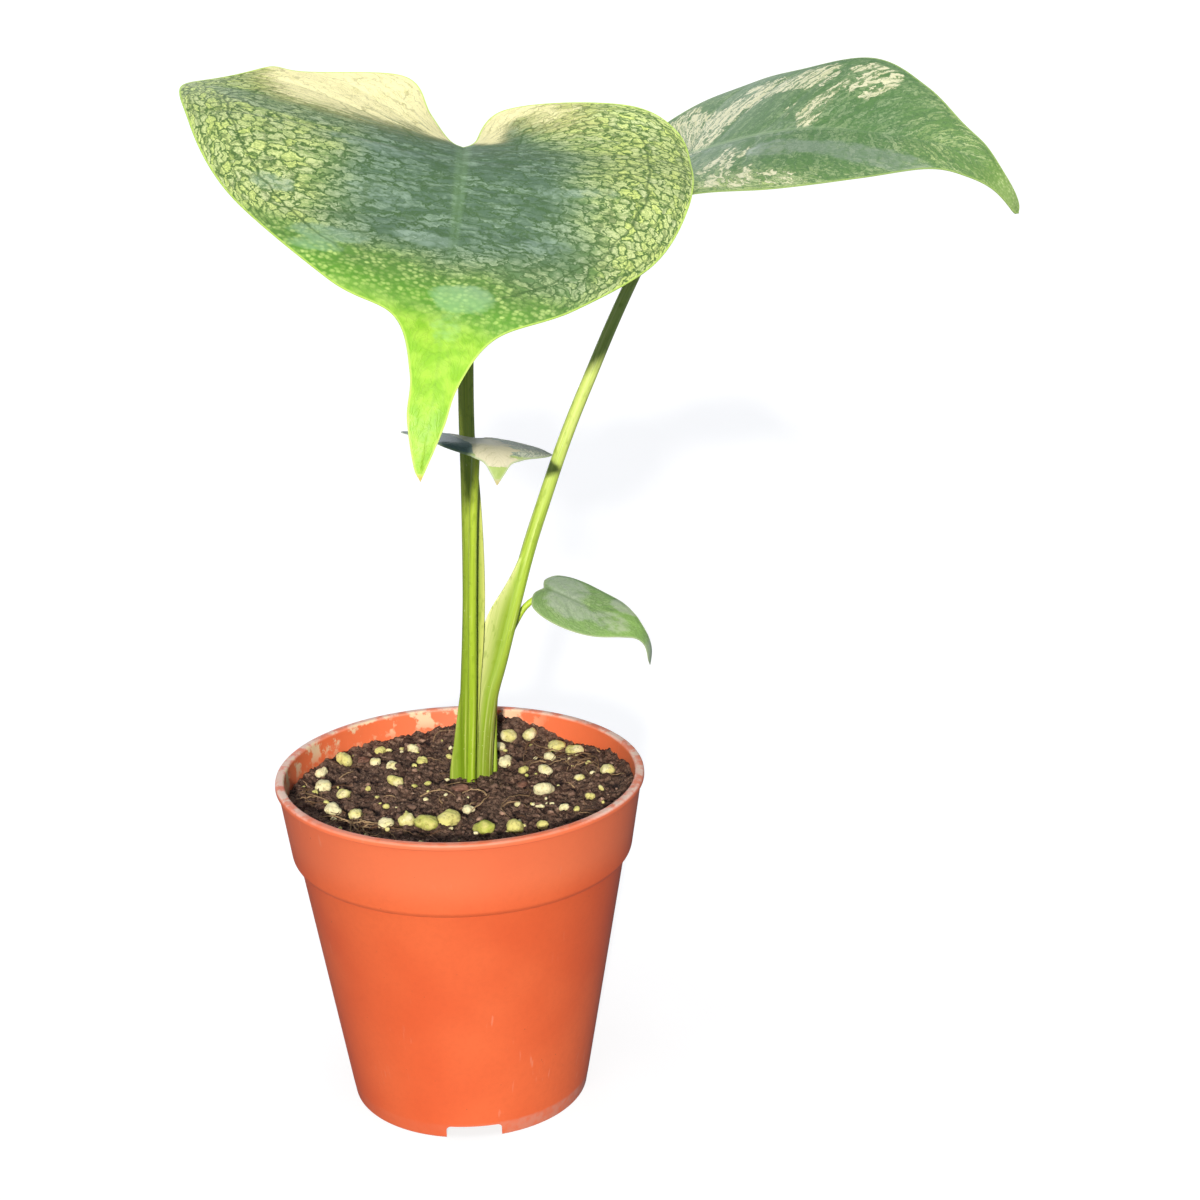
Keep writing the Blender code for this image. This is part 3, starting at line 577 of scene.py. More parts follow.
def fibres(rng, count):
    """Curved fibres lying over the crumbs; they gather in a few tufts and along the wall."""
    tufts = ((-135, 40, 8), (-128, 46, 6), (30, 45, 9), (50, 45, 7), (-20, 52, 5), (178, 51, 6))
    for index in range(count):
        if index < 0.7 * count:
            bearing, distance, spread = tufts[index % len(tufts)]
        else:
            bearing, distance, spread = rng.uniform(0, 360), rng.uniform(8, 50), 3
        x = distance * math.cos(math.radians(bearing)) + rng.normal(0, spread / 2)
        y = distance * math.sin(math.radians(bearing)) + rng.normal(0, spread / 2)
        heading, bend = rng.uniform(0, 6.28), rng.normal(0, 0.16)
        length = rng.uniform(5, 16)
        route = []
        for step in range(10):
            if math.hypot(x, y) > STREWN_RADIUS + 0.5:
                break
            hump = 1.1 * math.sin(math.pi * step / 9) * rng.uniform(0.6, 1.2)
            route.append((x, y, soil_height(x, y) + 0.5 + hump))
            x += length / 9 * math.cos(heading)
            y += length / 9 * math.sin(heading)
            heading += bend
        if len(route) < 4:
            continue
        thickness = rng.uniform(0.12, 0.32)
        radii = thickness * (1 - 0.6 * np.linspace(0, 1, len(route)))
        yield *thread(route, radii), rng.uniform(0, 1)


fibre_points, fibre_faces, fibre_tones = together(fibres(np.random.default_rng(11), FIBRES))
new_piece("coir_fibres", fibre_points, fibre_faces, [coir_fibre_skin()], "potting_soil",
          attributes={"tone": fibre_tones}, sharp=60)


# Mineral granules --------------------------------------------------------------------------------
# Porous mineral mixed into the soil for drainage: blunt, pitted grains of 1 to 7 mm, cream where
# they are dry and yellow-green where algae have grown on them.

GRIT = 90
GRIT_SIZES = (0.8, 2.4)
# How much higher granules and chips lie than the plain shapes that they stand for.
LIFT = (0, 0, 0.5)


def porous_mineral():
    """Porous mineral: matt and chalky, cream to yellow-green, darker in its pits and where soil
    clings to it."""
    skin, add = new_skin("porous_mineral", 0.9, Specular_IOR_Level=0.25)
    place = add("TexCoord", out="Object")
    tone = add("Attribute", attribute_name="tone", out="Fac")
    stain = add("TexNoise", place, 1000 / 3.2, 3, 0.6)
    shifted = add("Math ADD", tone, add("Math MULTIPLY", add("Math SUBTRACT", stain, 0.5), 1.1))
    pits = add("TexVoronoi", place, 1000 / 1.5)
    colour = layered(
        add, "#F1E8B8", (shifted, 0.05, 0.45, 0, 1, "#DDD684"), (shifted, 0.5, 0.95, 0, 1, "#B2BC50"),
        (add("TexNoise", place, 1000 / 1.8, 5, 0.75), 0.53, 0.66, 0, 0.6, "#8A7640"),
        (pits, 0.05, 0.3, 0.3, 0, "#7F7A3C"))
    height = add("Math ADD", add("MapRange", pits, 0.05, 0.4, 0, 0.5),
                 add("TexNoise", place, 1000, 4, 0.65))
    return finished(skin, colour, None, height, 0.22)


def pebble(rng, sizes, detail):
    """A blunt grain: three to five swellings grown together, with a knobbly skin."""
    points, faces = ball(detail)
    reach = np.zeros(len(points))
    for _ in range(rng.integers(3, 6)):
        centre = rng.normal(size=3) * (0.42, 0.32, 0.2)
        centre *= min(1.0, 0.5 / np.linalg.norm(centre))
        facing = points @ centre
        reach += np.exp(9 * (facing + np.sqrt(facing**2 - centre @ centre + rng.uniform(0.55, 0.75) ** 2)))
    reach = np.log(reach) / 9
    seed = Vector(rng.uniform(-50, 50, 3))
    knobs = [noise.fractal(Vector(point) * 1.7 + seed, 0.65, 2.0, 4) for point in points]
    points = points * (reach * (1 + 0.15 * np.array(knobs)))[:, None]
    middle = (points.max(axis=0) + points.min(axis=0)) / 2
    return (points - middle) * np.array(sizes) / np.ptp(points, axis=0), faces


def room_of(name):
    """Middle and sizes of a node's box in millimetres."""
    low, high = (np.array(corner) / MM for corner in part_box(name))
    return (low + high) / 2, high - low


mineral = porous_mineral()
granule_places = []
granule_names = sorted(name for name in frame["nodes"] if name.startswith("mineral_granule"))
for number, name in enumerate(granule_names, start=1):
    middle, sizes = room_of(name)
    granule_places.append((middle[0], middle[1], sizes[0] / 2))
    dice = np.random.default_rng(400 + number)
    shape, corners = pebble(dice, sizes * (1.28, 1.28, 1.12), 4)
    greener = 0.35 if middle[1] < -18 and middle[0] > -22 else -0.1
    tone = min(max(dice.uniform(0.0, 0.6) + greener, 0), 1)
    new_piece(f"granule_{number:02d}", shape + middle + LIFT, corners, [mineral], "mineral_granule",
              [name], {"tone": np.full(len(shape), tone)}, sharp=70)

grit_points, grit_faces, grit_tones = together(
    scatter(np.random.default_rng(21), GRIT, GRIT_SIZES, 2, 0.25, STALK_FEET + granule_places, pebble))
new_piece("mineral_grit", grit_points, grit_faces, [mineral], "mineral_granule",
          attributes={"tone": grit_tones * 0.6}, sharp=60)


# Bark chips --------------------------------------------------------------------------------------
# Composted pine bark left in the mix: flat, layered chips, reddish brown and dull.

def composted_bark():
    """Composted pine bark: dull reddish brown, in thin layers that catch light along their edges."""
    skin, add = new_skin("composted_bark", 0.9, Specular_IOR_Level=0.2)
    place = add("TexCoord", out="Object")
    layers = add("TexNoise", add("VectorMath MULTIPLY", place, (0.4, 1, 1.6)), 1000 / 1.4, 4, 0.65)
    colour = layered(add, "#5A3A2C", (layers, 0.3, 0.7, 0, 1, "#9A7362"),
                     (add("TexNoise", place, 1000 / 3, 2, 0.55), 0.5, 0.65, 0, 0.5, "#3F2A22"))
    return finished(skin, colour, None, layers, 0.4)


bark = composted_bark()
for number in (1, 2, 3):
    name = f"bark_chip_{number}"
    middle, sizes = room_of(name)
    shape, corners = lump(np.random.default_rng(700 + number), sizes, 4, 9, 10.0)
    ridges = [noise.fractal(Vector((p[0] * 0.5, p[1] * 1.6, p[2] * 2.4)), 0.7, 2.0, 3) for p in shape]
    shape = shape * (1 + 0.16 * np.array(ridges))[:, None]
    new_piece(f"bark_piece_{number}", shape + middle + LIFT, corners, [bark], "bark_chip", [name], sharp=55)


# Blade shapes ------------------------------------------------------------------------------------
# A blade is a thin sheet grown flat and bent by its own weight: along the midrib, then down from
# the fold at the midrib in each half. The stalks below need to know where their blades are.

# Each blade has the place of its joint, the midrib's heading, and the blade's roll with its twist
# per 100 mm, in degrees. Its left and right halves rise by the fold and bend down by the droop per
# mm outwards. The slope gives the midrib's dip at places along it. The outline of a half has the
# distance from the midrib and the place along it, and a blade without a right half mirrors its
# left. Grid and edge are the mesh's spacing, and the tissue swells by the quilt between laterals.
BLADES = {
    "front_leaf": dict(
        joint=(7.9, 0, 312.9), heading=-87.6, roll=-7.3, twist=-1.8,
        fold=(7.9, 3.7), droop=(0, 0.06), length=152, grid=1.45, edge=1.2, laterals=11, quilt=0.28,
        slope=((-45, 41), (0, 7), (40, 23), (80, 19), (110, 31), (135, 68), (165, 93)),
        left=((3.6, -6), (10.6, -25), (20, -42), (51.5, -34), (64, -30.5), (83.5, 0.5), (78.5, 31),
              (61, 68), (32, 97.5), (13.7, 106), (7, 124), (6, 136), (2.5, 148)),
        right=((3, -7), (11.5, -32), (49.5, -39), (66, -27.5), (69, -2), (66.5, 31.5), (55.5, 65.5),
               (34, 94), (14.6, 109), (6.2, 125.5), (3.9, 137), (1.1, 148))),
    "right_leaf": dict(
        joint=(77.1, 45, 304.4), heading=-27.7, roll=14.2, twist=6.9,
        fold=(5.4, 6.6), droop=(0.11, 0.063), length=119.5, grid=1.4, edge=1.2, laterals=9, quilt=0.25,
        slope=((-30, 3.5), (0, -17), (30, -12), (60, 4.5), (85, 12.5), (105, 48), (125, 85)),
        left=((3, -8), (14, -23), (33, -23.5), (52, -15), (55.6, 3), (49.7, 23.3), (47, 49),
              (30.5, 72), (15, 88.3), (9.5, 98.5), (5.4, 107), (2.9, 117))),
    "small_right_leaf": dict(
        joint=(29.2, 33, 163.4), heading=-16.8, roll=5.6, twist=14.6,
        fold=(-0.9, -2.5), droop=(0.35, 0.37), length=47.4, grid=0.85, edge=0.7, laterals=6, quilt=0.14,
        slope=((-10, 8), (0, 18.5), (12, 24), (24, 20), (32, 36), (40, 81), (50, 103)),
        left=((5, -3), (9.5, -2.5), (14, -0.5), (16.7, 4.5), (16.8, 12), (13.8, 22), (8.4, 29.3),
              (4.5, 33.7), (2.8, 37.7), (2.4, 43.4))),
    "small_front_leaf": dict(
        joint=(9.7, -12, 226.7), heading=-76.3, roll=-8.4, twist=2.0,
        fold=(1.4, -4.4), droop=(0.09, 0.29), length=39.6, grid=0.85, edge=0.7, laterals=6, quilt=0.1,
        slope=((-10, -5), (0, -8), (12, -7.5), (24, -2), (30, 30), (36, 73), (45, 92)),
        left=((2.8, -4), (5.5, -8.2), (13.7, -9), (22.4, -5), (21.8, 2.5), (20.8, 11.8), (17, 26),
              (8, 31.1), (4.3, 33), (2.1, 36.2), (0.4, 39))),
}
BLADE_THICKNESS = 0.6
EDGE_THICKNESS = 0.22
FOLD_RADIUS = 6.0
# Depth of the notch between the lobes behind the joint, and shares of the blade's length.
SINUS = 1.5
KEEL_SHARE = 0.0053
SEAT_SHARE = 0.02


def smooth_curve(points, samples, bunching=1.0):
    """Points along a Catmull-Rom curve through the given ones, spaced by length along it."""
    control = np.asarray(points, float)
    control = np.vstack([2 * control[0] - control[1], control, 2 * control[-1] - control[-2]])
    t = np.linspace(0.0, 1.0, 16, endpoint=False)[:, None]
    dense = []
    for a, b, c, d in zip(control, control[1:], control[2:], control[3:]):
        cubic = (2 * a - 5 * b + 4 * c - d) * t**2 + (3 * b - a - 3 * c + d) * t**3
        dense.append(0.5 * (2 * b + (c - a) * t + cubic))
    dense = np.vstack(dense + [control[-2:-1]])
    length = np.concatenate([[0], np.cumsum(np.linalg.norm(np.diff(dense, axis=0), axis=1))])
    share = 1.0 - (1.0 - np.linspace(0.0, 1.0, samples)) ** bunching
    return np.stack([np.interp(share * length[-1], length, column) for column in dense.T], axis=1)


def smooth_value(knots, at):
    """Cubic through (position, value) pairs, read at the given positions."""
    x, y = np.array(knots, float).T
    slope = np.gradient(y, x)
    at = np.clip(at, x[0], x[-1])
    left = np.clip(np.searchsorted(x, at) - 1, 0, len(x) - 2)
    step = x[left + 1] - x[left]
    t = (at - x[left]) / step
    value = (2 * t**3 - 3 * t**2 + 1) * y[left] + (3 * t**2 - 2 * t**3) * y[left + 1]
    return value + step * ((t**3 - 2 * t**2 + t) * slope[left] + (t**3 - t**2) * slope[left + 1])


def blade_surface(blade, across, along):
    """Bends flat blade coordinates into space: along the midrib's slope, then each half's fold."""
    stations = np.arange(-60.0, 201.0)
    dip = np.radians(smooth_value(blade["slope"], stations))
    forward = np.concatenate([[0], np.cumsum(np.cos((dip[1:] + dip[:-1]) / 2))])
    height = -np.concatenate([[0], np.cumsum(np.sin((dip[1:] + dip[:-1]) / 2))])
    forward = np.interp(along, stations, forward - forward[60])
    height = np.interp(along, stations, height - height[60])
    dip = np.interp(along, stations, dip)
    left = across < 0
    fold = np.radians(np.where(left, blade["fold"][0], blade["fold"][1]))
    droop = np.radians(np.where(left, blade["droop"][0], blade["droop"][1]))
    sideways = np.zeros_like(across)
    lift = np.zeros_like(across)
    parts = 24
    for part in range(parts):
        out = np.abs(across) * (part + 0.5) / parts
        angle = fold * (1 - np.exp(-out / FOLD_RADIUS)) - droop * out
        sideways += np.cos(angle) * across / parts
        lift += np.sin(angle) * np.abs(across) / parts
    forward = forward + lift * np.sin(dip)
    height = height + lift * np.cos(dip)
    turn = np.radians(blade["roll"] + blade["twist"] * along / 100)
    sideways, height = (np.cos(turn) * sideways - np.sin(turn) * height,
                        np.sin(turn) * sideways + np.cos(turn) * height)
    east, north = math.cos(math.radians(blade["heading"])), math.sin(math.radians(blade["heading"]))
    x = forward * east - sideways * north
    y = forward * north + sideways * east
    return np.array(blade["joint"]) + np.stack([x, y, height], axis=-1)


def blade_frame(blade, across, along):
    """Points of the blade's middle surface with the directions that face up from it."""
    step = 0.4
    centre = blade_surface(blade, across, along)
    over = blade_surface(blade, across + step, along) - blade_surface(blade, across - step, along)
    ahead = blade_surface(blade, across, along + step) - blade_surface(blade, across, along - step)
    normal = np.cross(ahead, over)
    normal /= np.linalg.norm(normal, axis=1)[:, None]
    return centre, normal


# Petioles ----------------------------------------------------------------------------------------
# The four leaf stalks: juicy, smooth and finely ribbed. The two large ones keep the thin wings of
# the sheath that wrapped the next leaf, and all of them come up out of the soil close together.

# Each stalk has its radii at the foot and at the blade, a route from the soil up, and the wings'
# bearings with their reach at some heights.
PETIOLES = {
    "front_petiole": dict(
        blade="front_leaf", radii=(2.6, 2.4),
        route=((1.4, 17, 104), (2.4, 16.4, 132), (3.7, 15.6, 153), (4.6, 14.5, 172), (5.3, 12, 205),
               (5.5, 10.5, 232), (6.6, 6.5, 265)),
        wings=((-170, ((90, 3.0), (103, 3.6), (117, 2.0), (134, 0))),
               (-10, ((90, 0.7), (104, 0.9), (118, 1.0), (136, 1.6), (152, 2.2), (190, 1.9), (210, 0.8),
                      (222, 0))))),
    "right_petiole": dict(
        blade="right_leaf", radii=(2.6, 1.8),
        route=((7.0, 18.7, 104), (9.2, 19.6, 128), (13.5, 21.8, 144), (22.3, 26.5, 176),
               (28.7, 29.4, 195), (36.0, 32.3, 215), (44.1, 35.4, 234), (57.0, 39.9, 262)),
        wings=((-142, ((104, 0.7), (118, 1.0), (128, 1.9), (138, 4.4), (147, 6.9), (155, 7.7),
                       (160, 6.3), (165, 3.9), (171, 1.6), (178, 0))),
               (30, ((104, 0), (178, 0))))),
    "small_right_petiole": dict(
        blade="small_right_leaf", radii=(1.35, 1.0),
        route=((9.7, 22.9, 104), (10.6, 26.0, 128), (14.2, 28.5, 144), (18.8, 31, 154),
               (23.0, 32.3, 159.2))),
    "small_front_petiole": dict(
        blade="small_front_leaf", radii=(1.5, 1.25),
        route=((2.7, 12.0, 104), (4.2, 10.6, 134), (5.5, 7.5, 169), (6.8, 4.5, 196),
               (7.9, 1.5, 210), (8.8, -5, 219))),
}
STALK_DEPTH = 13.0
RING_STEP = 1.5
WING_ROOT = 24.0
WING_THICKNESS = 0.34


def wing_section(radius, bearing, reach):
    """Points round one wing as (x, y, wing weight, weight of painted shade in the groove at its root), from
    root to root.
    """
    points = []
    root = math.radians(WING_ROOT)
    grown = min(reach / 1.2, 1.0)
    for v in np.sin(np.linspace(-math.pi / 2, math.pi / 2, 15)):
        axial = radius * math.cos(v * root) + reach * (1 - abs(v) ** 2.2)
        thin = WING_THICKNESS * min(1.0, abs(v) * 5) ** 0.5
        thin = math.copysign(thin + (radius * math.sin(root) - WING_THICKNESS) * abs(v) ** 7, v)
        lateral = (1 - grown) * radius * math.sin(v * root) + grown * (0.0 if v == 0 else thin)
        turn = math.radians(bearing)
        points.append((axial * math.cos(turn) - lateral * math.sin(turn),
                       axial * math.sin(turn) + lateral * math.cos(turn),
                       grown * (1 - abs(v) ** 3), grown * abs(v) ** 6))
    return points


def stalk_section(radius, wings):
    """Outline across a stalk: finely ribbed arcs between its wings, with weights of painted shade in the
    grooves beside them.
    """
    if not wings:
        wings = ((200.0, 0.0),)
    outline = []
    for index, (bearing, reach) in enumerate(wings):
        outline += wing_section(radius, bearing, reach)
        following = wings[(index + 1) % len(wings)][0]
        sweep = ((following - bearing - 1e-6) % 360.0) - 2 * WING_ROOT
        steps = max(6, int(sweep / 12))
        near = 1.0 if reach > 0.6 else 0.0
        for step in range(1, steps):
            angle = math.radians(bearing + WING_ROOT + sweep * step / steps)
            ribbed = radius * (1 + 0.012 * math.cos(14 * angle))
            groove = near * max(0.0, 1 - min(step, steps - step) / 2.5)
            outline.append((ribbed * math.cos(angle), ribbed * math.sin(angle), 0.0, groove))
    return outline


def stalk_mesh(name):
    """A stalk swept along its route from below the soil into the keel of its blade."""
    stalk = PETIOLES[name]
    blade = BLADES[stalk["blade"]]
    seat, normal = blade_frame(blade, np.array([0.0]), np.array([SEAT_SHARE * blade["length"]]))
    seat, normal = seat[0] - normal[0] * 0.1, normal[0]
    foot = np.array(stalk["route"][0]) - (0, 0, STALK_DEPTH)
    rings = int(math.dist(foot, seat) / RING_STEP)
    middle = smooth_curve([foot, *stalk["route"], seat], rings)
    tangents = np.gradient(middle, axis=0)
    tangents /= np.linalg.norm(tangents, axis=1)[:, None]
    points, place, wing, groove = [], [], [], []
    for index, (centre, tangent) in enumerate(zip(middle, tangents)):
        side = np.array([1.0, 0.0, 0.0]) - tangent[0] * tangent
        side /= np.linalg.norm(side)
        back = np.cross(tangent, side)
        share = index / (rings - 1)
        radius = np.interp(share, (0, 1), stalk["radii"])
        radius *= 1 + 0.10 * math.exp(-((share - 1) / 0.05) ** 2)
        wings = [(bearing, max(0.0, float(smooth_value(reaches, centre[2]))))
                 for bearing, reaches in stalk.get("wings", ())]
        for x, y, winged, groove_shade in stalk_section(radius, wings):
            points.append(centre + side * x + back * y)
            place.append((math.atan2(x, -y) * radius + math.hypot(x, y), centre[2], 0.0))
            wing.append(winged)
            groove.append(groove_shade)
    count = len(points) // rings
    points = np.array(points)
    last = slice(len(points) - count, len(points))
    points[last] += tangents[-1] * (((seat - points[last]) @ normal) / (tangents[-1] @ normal))[:, None]
    return points, tube_faces(rings, count), {"stalk": np.array(place), "wing": wing, "groove": groove}


def green_stalk_skin(name, low, middle, high, sheath, dark):
    """Living stalk: waxy green with lengthwise fibres, yellower towards the light, a paler papery
    sheath wing and painted shade in the groove beside it."""
    skin, add = new_skin(name, 0.4, IOR=1.42)
    place = add("Attribute", attribute_name="stalk", out="Vector")
    level = add("SeparateXYZ", place, out=1)
    wing, groove = (add("Attribute", attribute_name=key, out="Fac") for key in ("wing", "groove"))

    def fibre(across, along, detail):
        """Noise on the unrolled stalk, with its frequencies round it and along it."""
        return add("TexNoise", add("VectorMath MULTIPLY", place, (across, along, 1)), 1, detail)

    streak = fibre(1.3, 0.03, 4)
    colour = layered(add, low, (level, 108, 165, 0, 1, middle), (level, 165, 235, 0, 1, high),
                     (streak, 0.5, 0.7, 0, 0.55, dark), (streak, 0.3, 0.46, 0.5, 0, sheath))
    colour = add("Mix", faded(add, wing, (level, 112, 150, 0.2, 0.9)), colour, sheath)
    colour = add("Mix", faded(add, wing, (fibre(3.2, 0.06, 2), 0.52, 0.64, 0, 0.4)), colour, middle)
    # Painted shade in the groove beside each wing.
    colour = add("Mix", add("Math MULTIPLY", groove, 0.8), colour, dark)
    colour = layered(add, colour, (fibre(0.5, 0.22, 4), 0.54, 0.68, 0, 0.4, dark),
                     (fibre(1.1, 0.8, 2), 0.68, 0.74, 0, 0.5, "#DCE79A"))
    return finished(skin, colour, None, fibre(5, 0.25, 3), 0.04)


# Colours of the foot, the middle, the top, the sheath's wings, and the dark of the fibres and of the
# painted shade in the grooves beside the wings.
STALK_COLOURS = {
    "front_petiole": ("#7FA01E", "#99B532", "#BCCE50", "#DBE07C", "#76941A"),
    "right_petiole": ("#81942B", "#B6D446", "#D6E878", "#F8FCAA", "#8CAC28"),
    "small_right_petiole": ("#9CBC30", "#C4E046", "#D8EE5C", "#DCEB84", "#84A41C"),
    "small_front_petiole": ("#9ABC2A", "#B4D23A", "#CCE24C", "#DCE77C", "#85A51E"),
}
for name, colours in STALK_COLOURS.items():
    points, faces, attributes = stalk_mesh(name)
    skin = green_stalk_skin("living_" + name, *colours)
    new_piece(name.replace("petiole", "stalk"), points, faces, [skin], name, [name], attributes, sharp=50)


# Leaf blades -------------------------------------------------------------------------------------
# Living leaf tissue 0.6 mm thick, variegated: the top is waxy green with a net of veins round
# paler cells, the underside is paler and dull, with the midrib and side veins standing out.

def step_between(value, low, high):
    """A smooth step from 0 at low to 1 at high."""
    t = np.clip((value - low) / (high - low), 0, 1)
    return t * t * (3 - 2 * t)


def spots(across, along, *ellipses):
    """Soft ellipses on the flat blade, added up. Each has a share, which it reaches in its middle,
    a middle (across, along), two radii and, where it needs one, a turn in degrees."""
    total = 0.0
    for share, x, y, wide, high, *turn in ellipses:
        dx, dy, angle = across - x, along - y, math.radians(sum(turn))
        c, s = math.cos(angle), math.sin(angle)
        distance = np.hypot((c * dx + s * dy) / wide, (c * dy - s * dx) / high)
        total = total + share * step_between(distance, 1.0, 0.55)
    return total


def blade_halves(blade, spacing):
    """Outlines of both halves from the notch to the tip, as (distance from the midrib, along)."""
    halves = []
    for half in (blade["left"], blade.get("right", blade["left"])):
        points = [(0.0, -SINUS), *half, (0.0, blade["length"])]
        length = sum(math.dist(a, b) for a, b in zip(points, points[1:]))
        halves.append(smooth_curve(points, int(length / spacing), 1.15))
    return halves


def distance_to(line, points):
    """Distance of flat points to a polyline, and whether they lie inside it as a closed ring."""
    ahead = np.roll(line, -1, axis=0)
    nearest = np.full(len(points), 1e9)
    odd = np.zeros(len(points), bool)
    for a, b in zip(line, ahead):
        edge = b - a
        t = np.clip(((points - a) @ edge) / max(edge @ edge, 1e-9), 0, 1)
        nearest = np.minimum(nearest, np.linalg.norm(points - a - t[:, None] * edge, axis=1))
        crosses = (a[1] > points[:, 1]) != (b[1] > points[:, 1])
        rise = edge[1] if edge[1] != 0 else 1.0
        odd ^= crosses & (a[0] + (points[:, 1] - a[1]) * edge[0] / rise > points[:, 0])
    return nearest, odd


def flat_blade(blade):
    """Flat points and triangles: the outline, rows beside the midrib and a staggered grid."""
    left, right = blade_halves(blade, blade["edge"])
    outline = np.vstack([left * (-1, 1), right[-2:0:-1]])
    grid, length = blade["grid"], blade["length"]
    rows = np.arange(outline[:, 1].min(), length, 0.87 * grid)
    columns = np.arange(0.5, np.abs(outline[:, 0]).max() / grid + 1) * grid
    places = []
    for index, along in enumerate(rows):
        across = 2.0 + columns + 0.5 * grid * (index % 2)
        places += [(x, along) for x in across] + [(-x, along) for x in across]
    for off in (0.0, 0.65, 1.35, 2.1):
        for along in np.arange(1.2, length - 2.5, grid):
            places += [(off, along), (-off, along)] if off else [(0.0, along)]
    places = np.array(places)
    near, inside = distance_to(outline, places)
    places = places[inside & (near > 0.6 * grid)]
    border = [list(range(len(outline)))]
    flat, _, triangles, *_ = delaunay_2d_cdt(
        [Vector(p) for p in np.vstack([outline, places])], [], border, 1, 1e-5)
    return np.array([tuple(p) for p in flat]), triangles, outline


START_TURNS = ((0, 168), (0.12, 140), (0.26, 112), (0.38, 92), (0.6, 72), (0.8, 58), (1, 35))


def vein_fan(half, length):
    """Places on a fan of side veins: rows are veins from the lobe to the tip, columns go outwards.

    The first veins all leave the joint and run back into the lobe; the rest leave the midrib one
    after another and bend forward where they come near the margin."""
    order = np.linspace(0, 1, 141)
    m = (0.05 + 0.93 * order) * (len(half) - 1)
    ends = np.stack([np.interp(m, np.arange(len(half)), column) for column in half.T], axis=1)
    along_edge = np.gradient(ends, axis=0)
    along_edge /= np.linalg.norm(along_edge, axis=1)[:, None]
    starts = np.stack([np.zeros_like(order), 0.9 * length * np.clip((order - 0.38) / 0.62, 0, 1) ** 1.1],
                      axis=1)
    turn = np.radians(np.interp(order, *zip(*START_TURNS)))
    leaving = np.stack([np.sin(turn), np.cos(turn)], axis=1)
    reach = np.linalg.norm(ends - starts, axis=1)[:, None]
    arriving = 0.8 * along_edge + 0.35 * (ends - starts) / np.maximum(reach, 1e-6)
    arriving /= np.linalg.norm(arriving, axis=1)[:, None]
    first, second = starts + leaving * reach * 0.42, ends - arriving * reach * 0.34
    t = np.linspace(0, 1, 81)[None, :, None]
    fan = ((1 - t) ** 3 * starts[:, None] + 3 * t * (1 - t) ** 2 * first[:, None]
           + 3 * t**2 * (1 - t) * second[:, None] + t**3 * ends[:, None])
    return order, fan


def vein_places(blade, across, along, halves):
    """For each flat point: the place along its side vein, which vein, and the distance to one."""
    flow = np.zeros((len(across), 3))
    for sign, half in zip((-1, 1), halves):
        order, fan = vein_fan(half, blade["length"])
        lengths = np.linalg.norm(np.diff(fan, axis=1), axis=2).sum(axis=1)
        rows, columns = fan.shape[:2]
        tree = kdtree.KDTree(rows * columns)
        for index, place in enumerate(fan.reshape(-1, 2)):
            tree.insert((place[0], place[1], 0), index)
        tree.balance()
        down, out = np.gradient(fan, axis=0), np.gradient(fan, axis=1)
        for index in np.flatnonzero(np.sign(across + 1e-9) == sign):
            point = np.array((abs(across[index]), along[index]))
            row, column = divmod(tree.find((*point, 0))[1], columns)
            basis = np.stack([down[row, column], out[row, column]], axis=1)
            step = np.linalg.lstsq(basis, point - fan[row, column], rcond=None)[0]
            row_at = min(max(row + np.clip(step[0], -0.7, 0.7), 0), rows - 1)
            column_at = min(max(column + np.clip(step[1], -0.7, 0.7), 0), columns - 1)
            which, out_share = row_at / (rows - 1), column_at / (columns - 1)
            outward = out[row, column] / max(np.linalg.norm(out[row, column]), 1e-9)
            spacing = abs(down[row, column] @ (outward[1], -outward[0])) * (rows - 1)
            phase = which * blade["laterals"]
            off = abs(phase - round(phase))
            length = np.interp(which, order, lengths)
            flow[index] = (sign * length * (0.38 * out_share + 0.27 * out_share**2),
                           which * 1.5 * blade["length"], off * spacing / blade["laterals"])
    return flow


def blade_mesh(name):
    """A thin shell with the midrib's groove on top and its keel and the side veins below."""
    blade = BLADES[name]
    flat, triangles, outline = flat_blade(blade)
    across, along = flat.T
    halves = blade_halves(blade, 1.0)
    flow = vein_places(blade, across, along, halves)
    margin = distance_to(outline, flat)[0]
    size = blade["length"] / 152
    off_vein, off_midrib = flow[:, 2], np.abs(across)
    tapering = np.clip(1 - along / blade["length"], 0, 1)
    inner = step_between(margin, 0, 7 * size) * step_between(off_midrib, 1.5, 7 * size)
    waves = blade["quilt"] * inner * np.tanh(off_vein / (2.6 * size))
    rib = np.exp(-((off_vein / (0.75 * size + 0.2)) ** 2)) * inner
    groove = 0.3 * size * tapering**1.6 * np.exp(-((off_midrib / (1.2 * size)) ** 2)) * (along > -SINUS)
    keel = KEEL_SHARE * blade["length"] * tapering * np.exp(-((off_midrib / (1.5 * size)) ** 2))
    thick = EDGE_THICKNESS + (BLADE_THICKNESS - EDGE_THICKNESS) * step_between(margin, 0, 2.5)
    centre, normal = blade_frame(blade, across, along)
    top = thick / 2 + waves - groove * step_between(margin, 0, 2) - 0.1 * size * rib
    bottom = thick / 2 - waves + keel + 0.3 * size * rib
    points = np.vstack([centre + normal * top[:, None], centre - normal * bottom[:, None]])
    count = len(flat)
    sides = {pair for corners in triangles for pair in zip(corners, corners[1:] + corners[:1])}
    border = [pair for pair in sides if pair[::-1] not in sides]
    border.sort()
    faces = [list(corners) for corners in triangles]
    faces += [[second, first, count + first, count + second] for first, second in border]
    tops = len(faces)
    faces += [[count + index for index in reversed(corners)] for corners in triangles]
    weights = {"blade": np.stack([across, along, np.zeros(count)], axis=1), "flow": flow,
               "margin": margin, **LEAF_PATTERNS[name](across, along, margin)}
    return points, faces, tops, {key: np.concatenate([value, value]) for key, value in weights.items()}


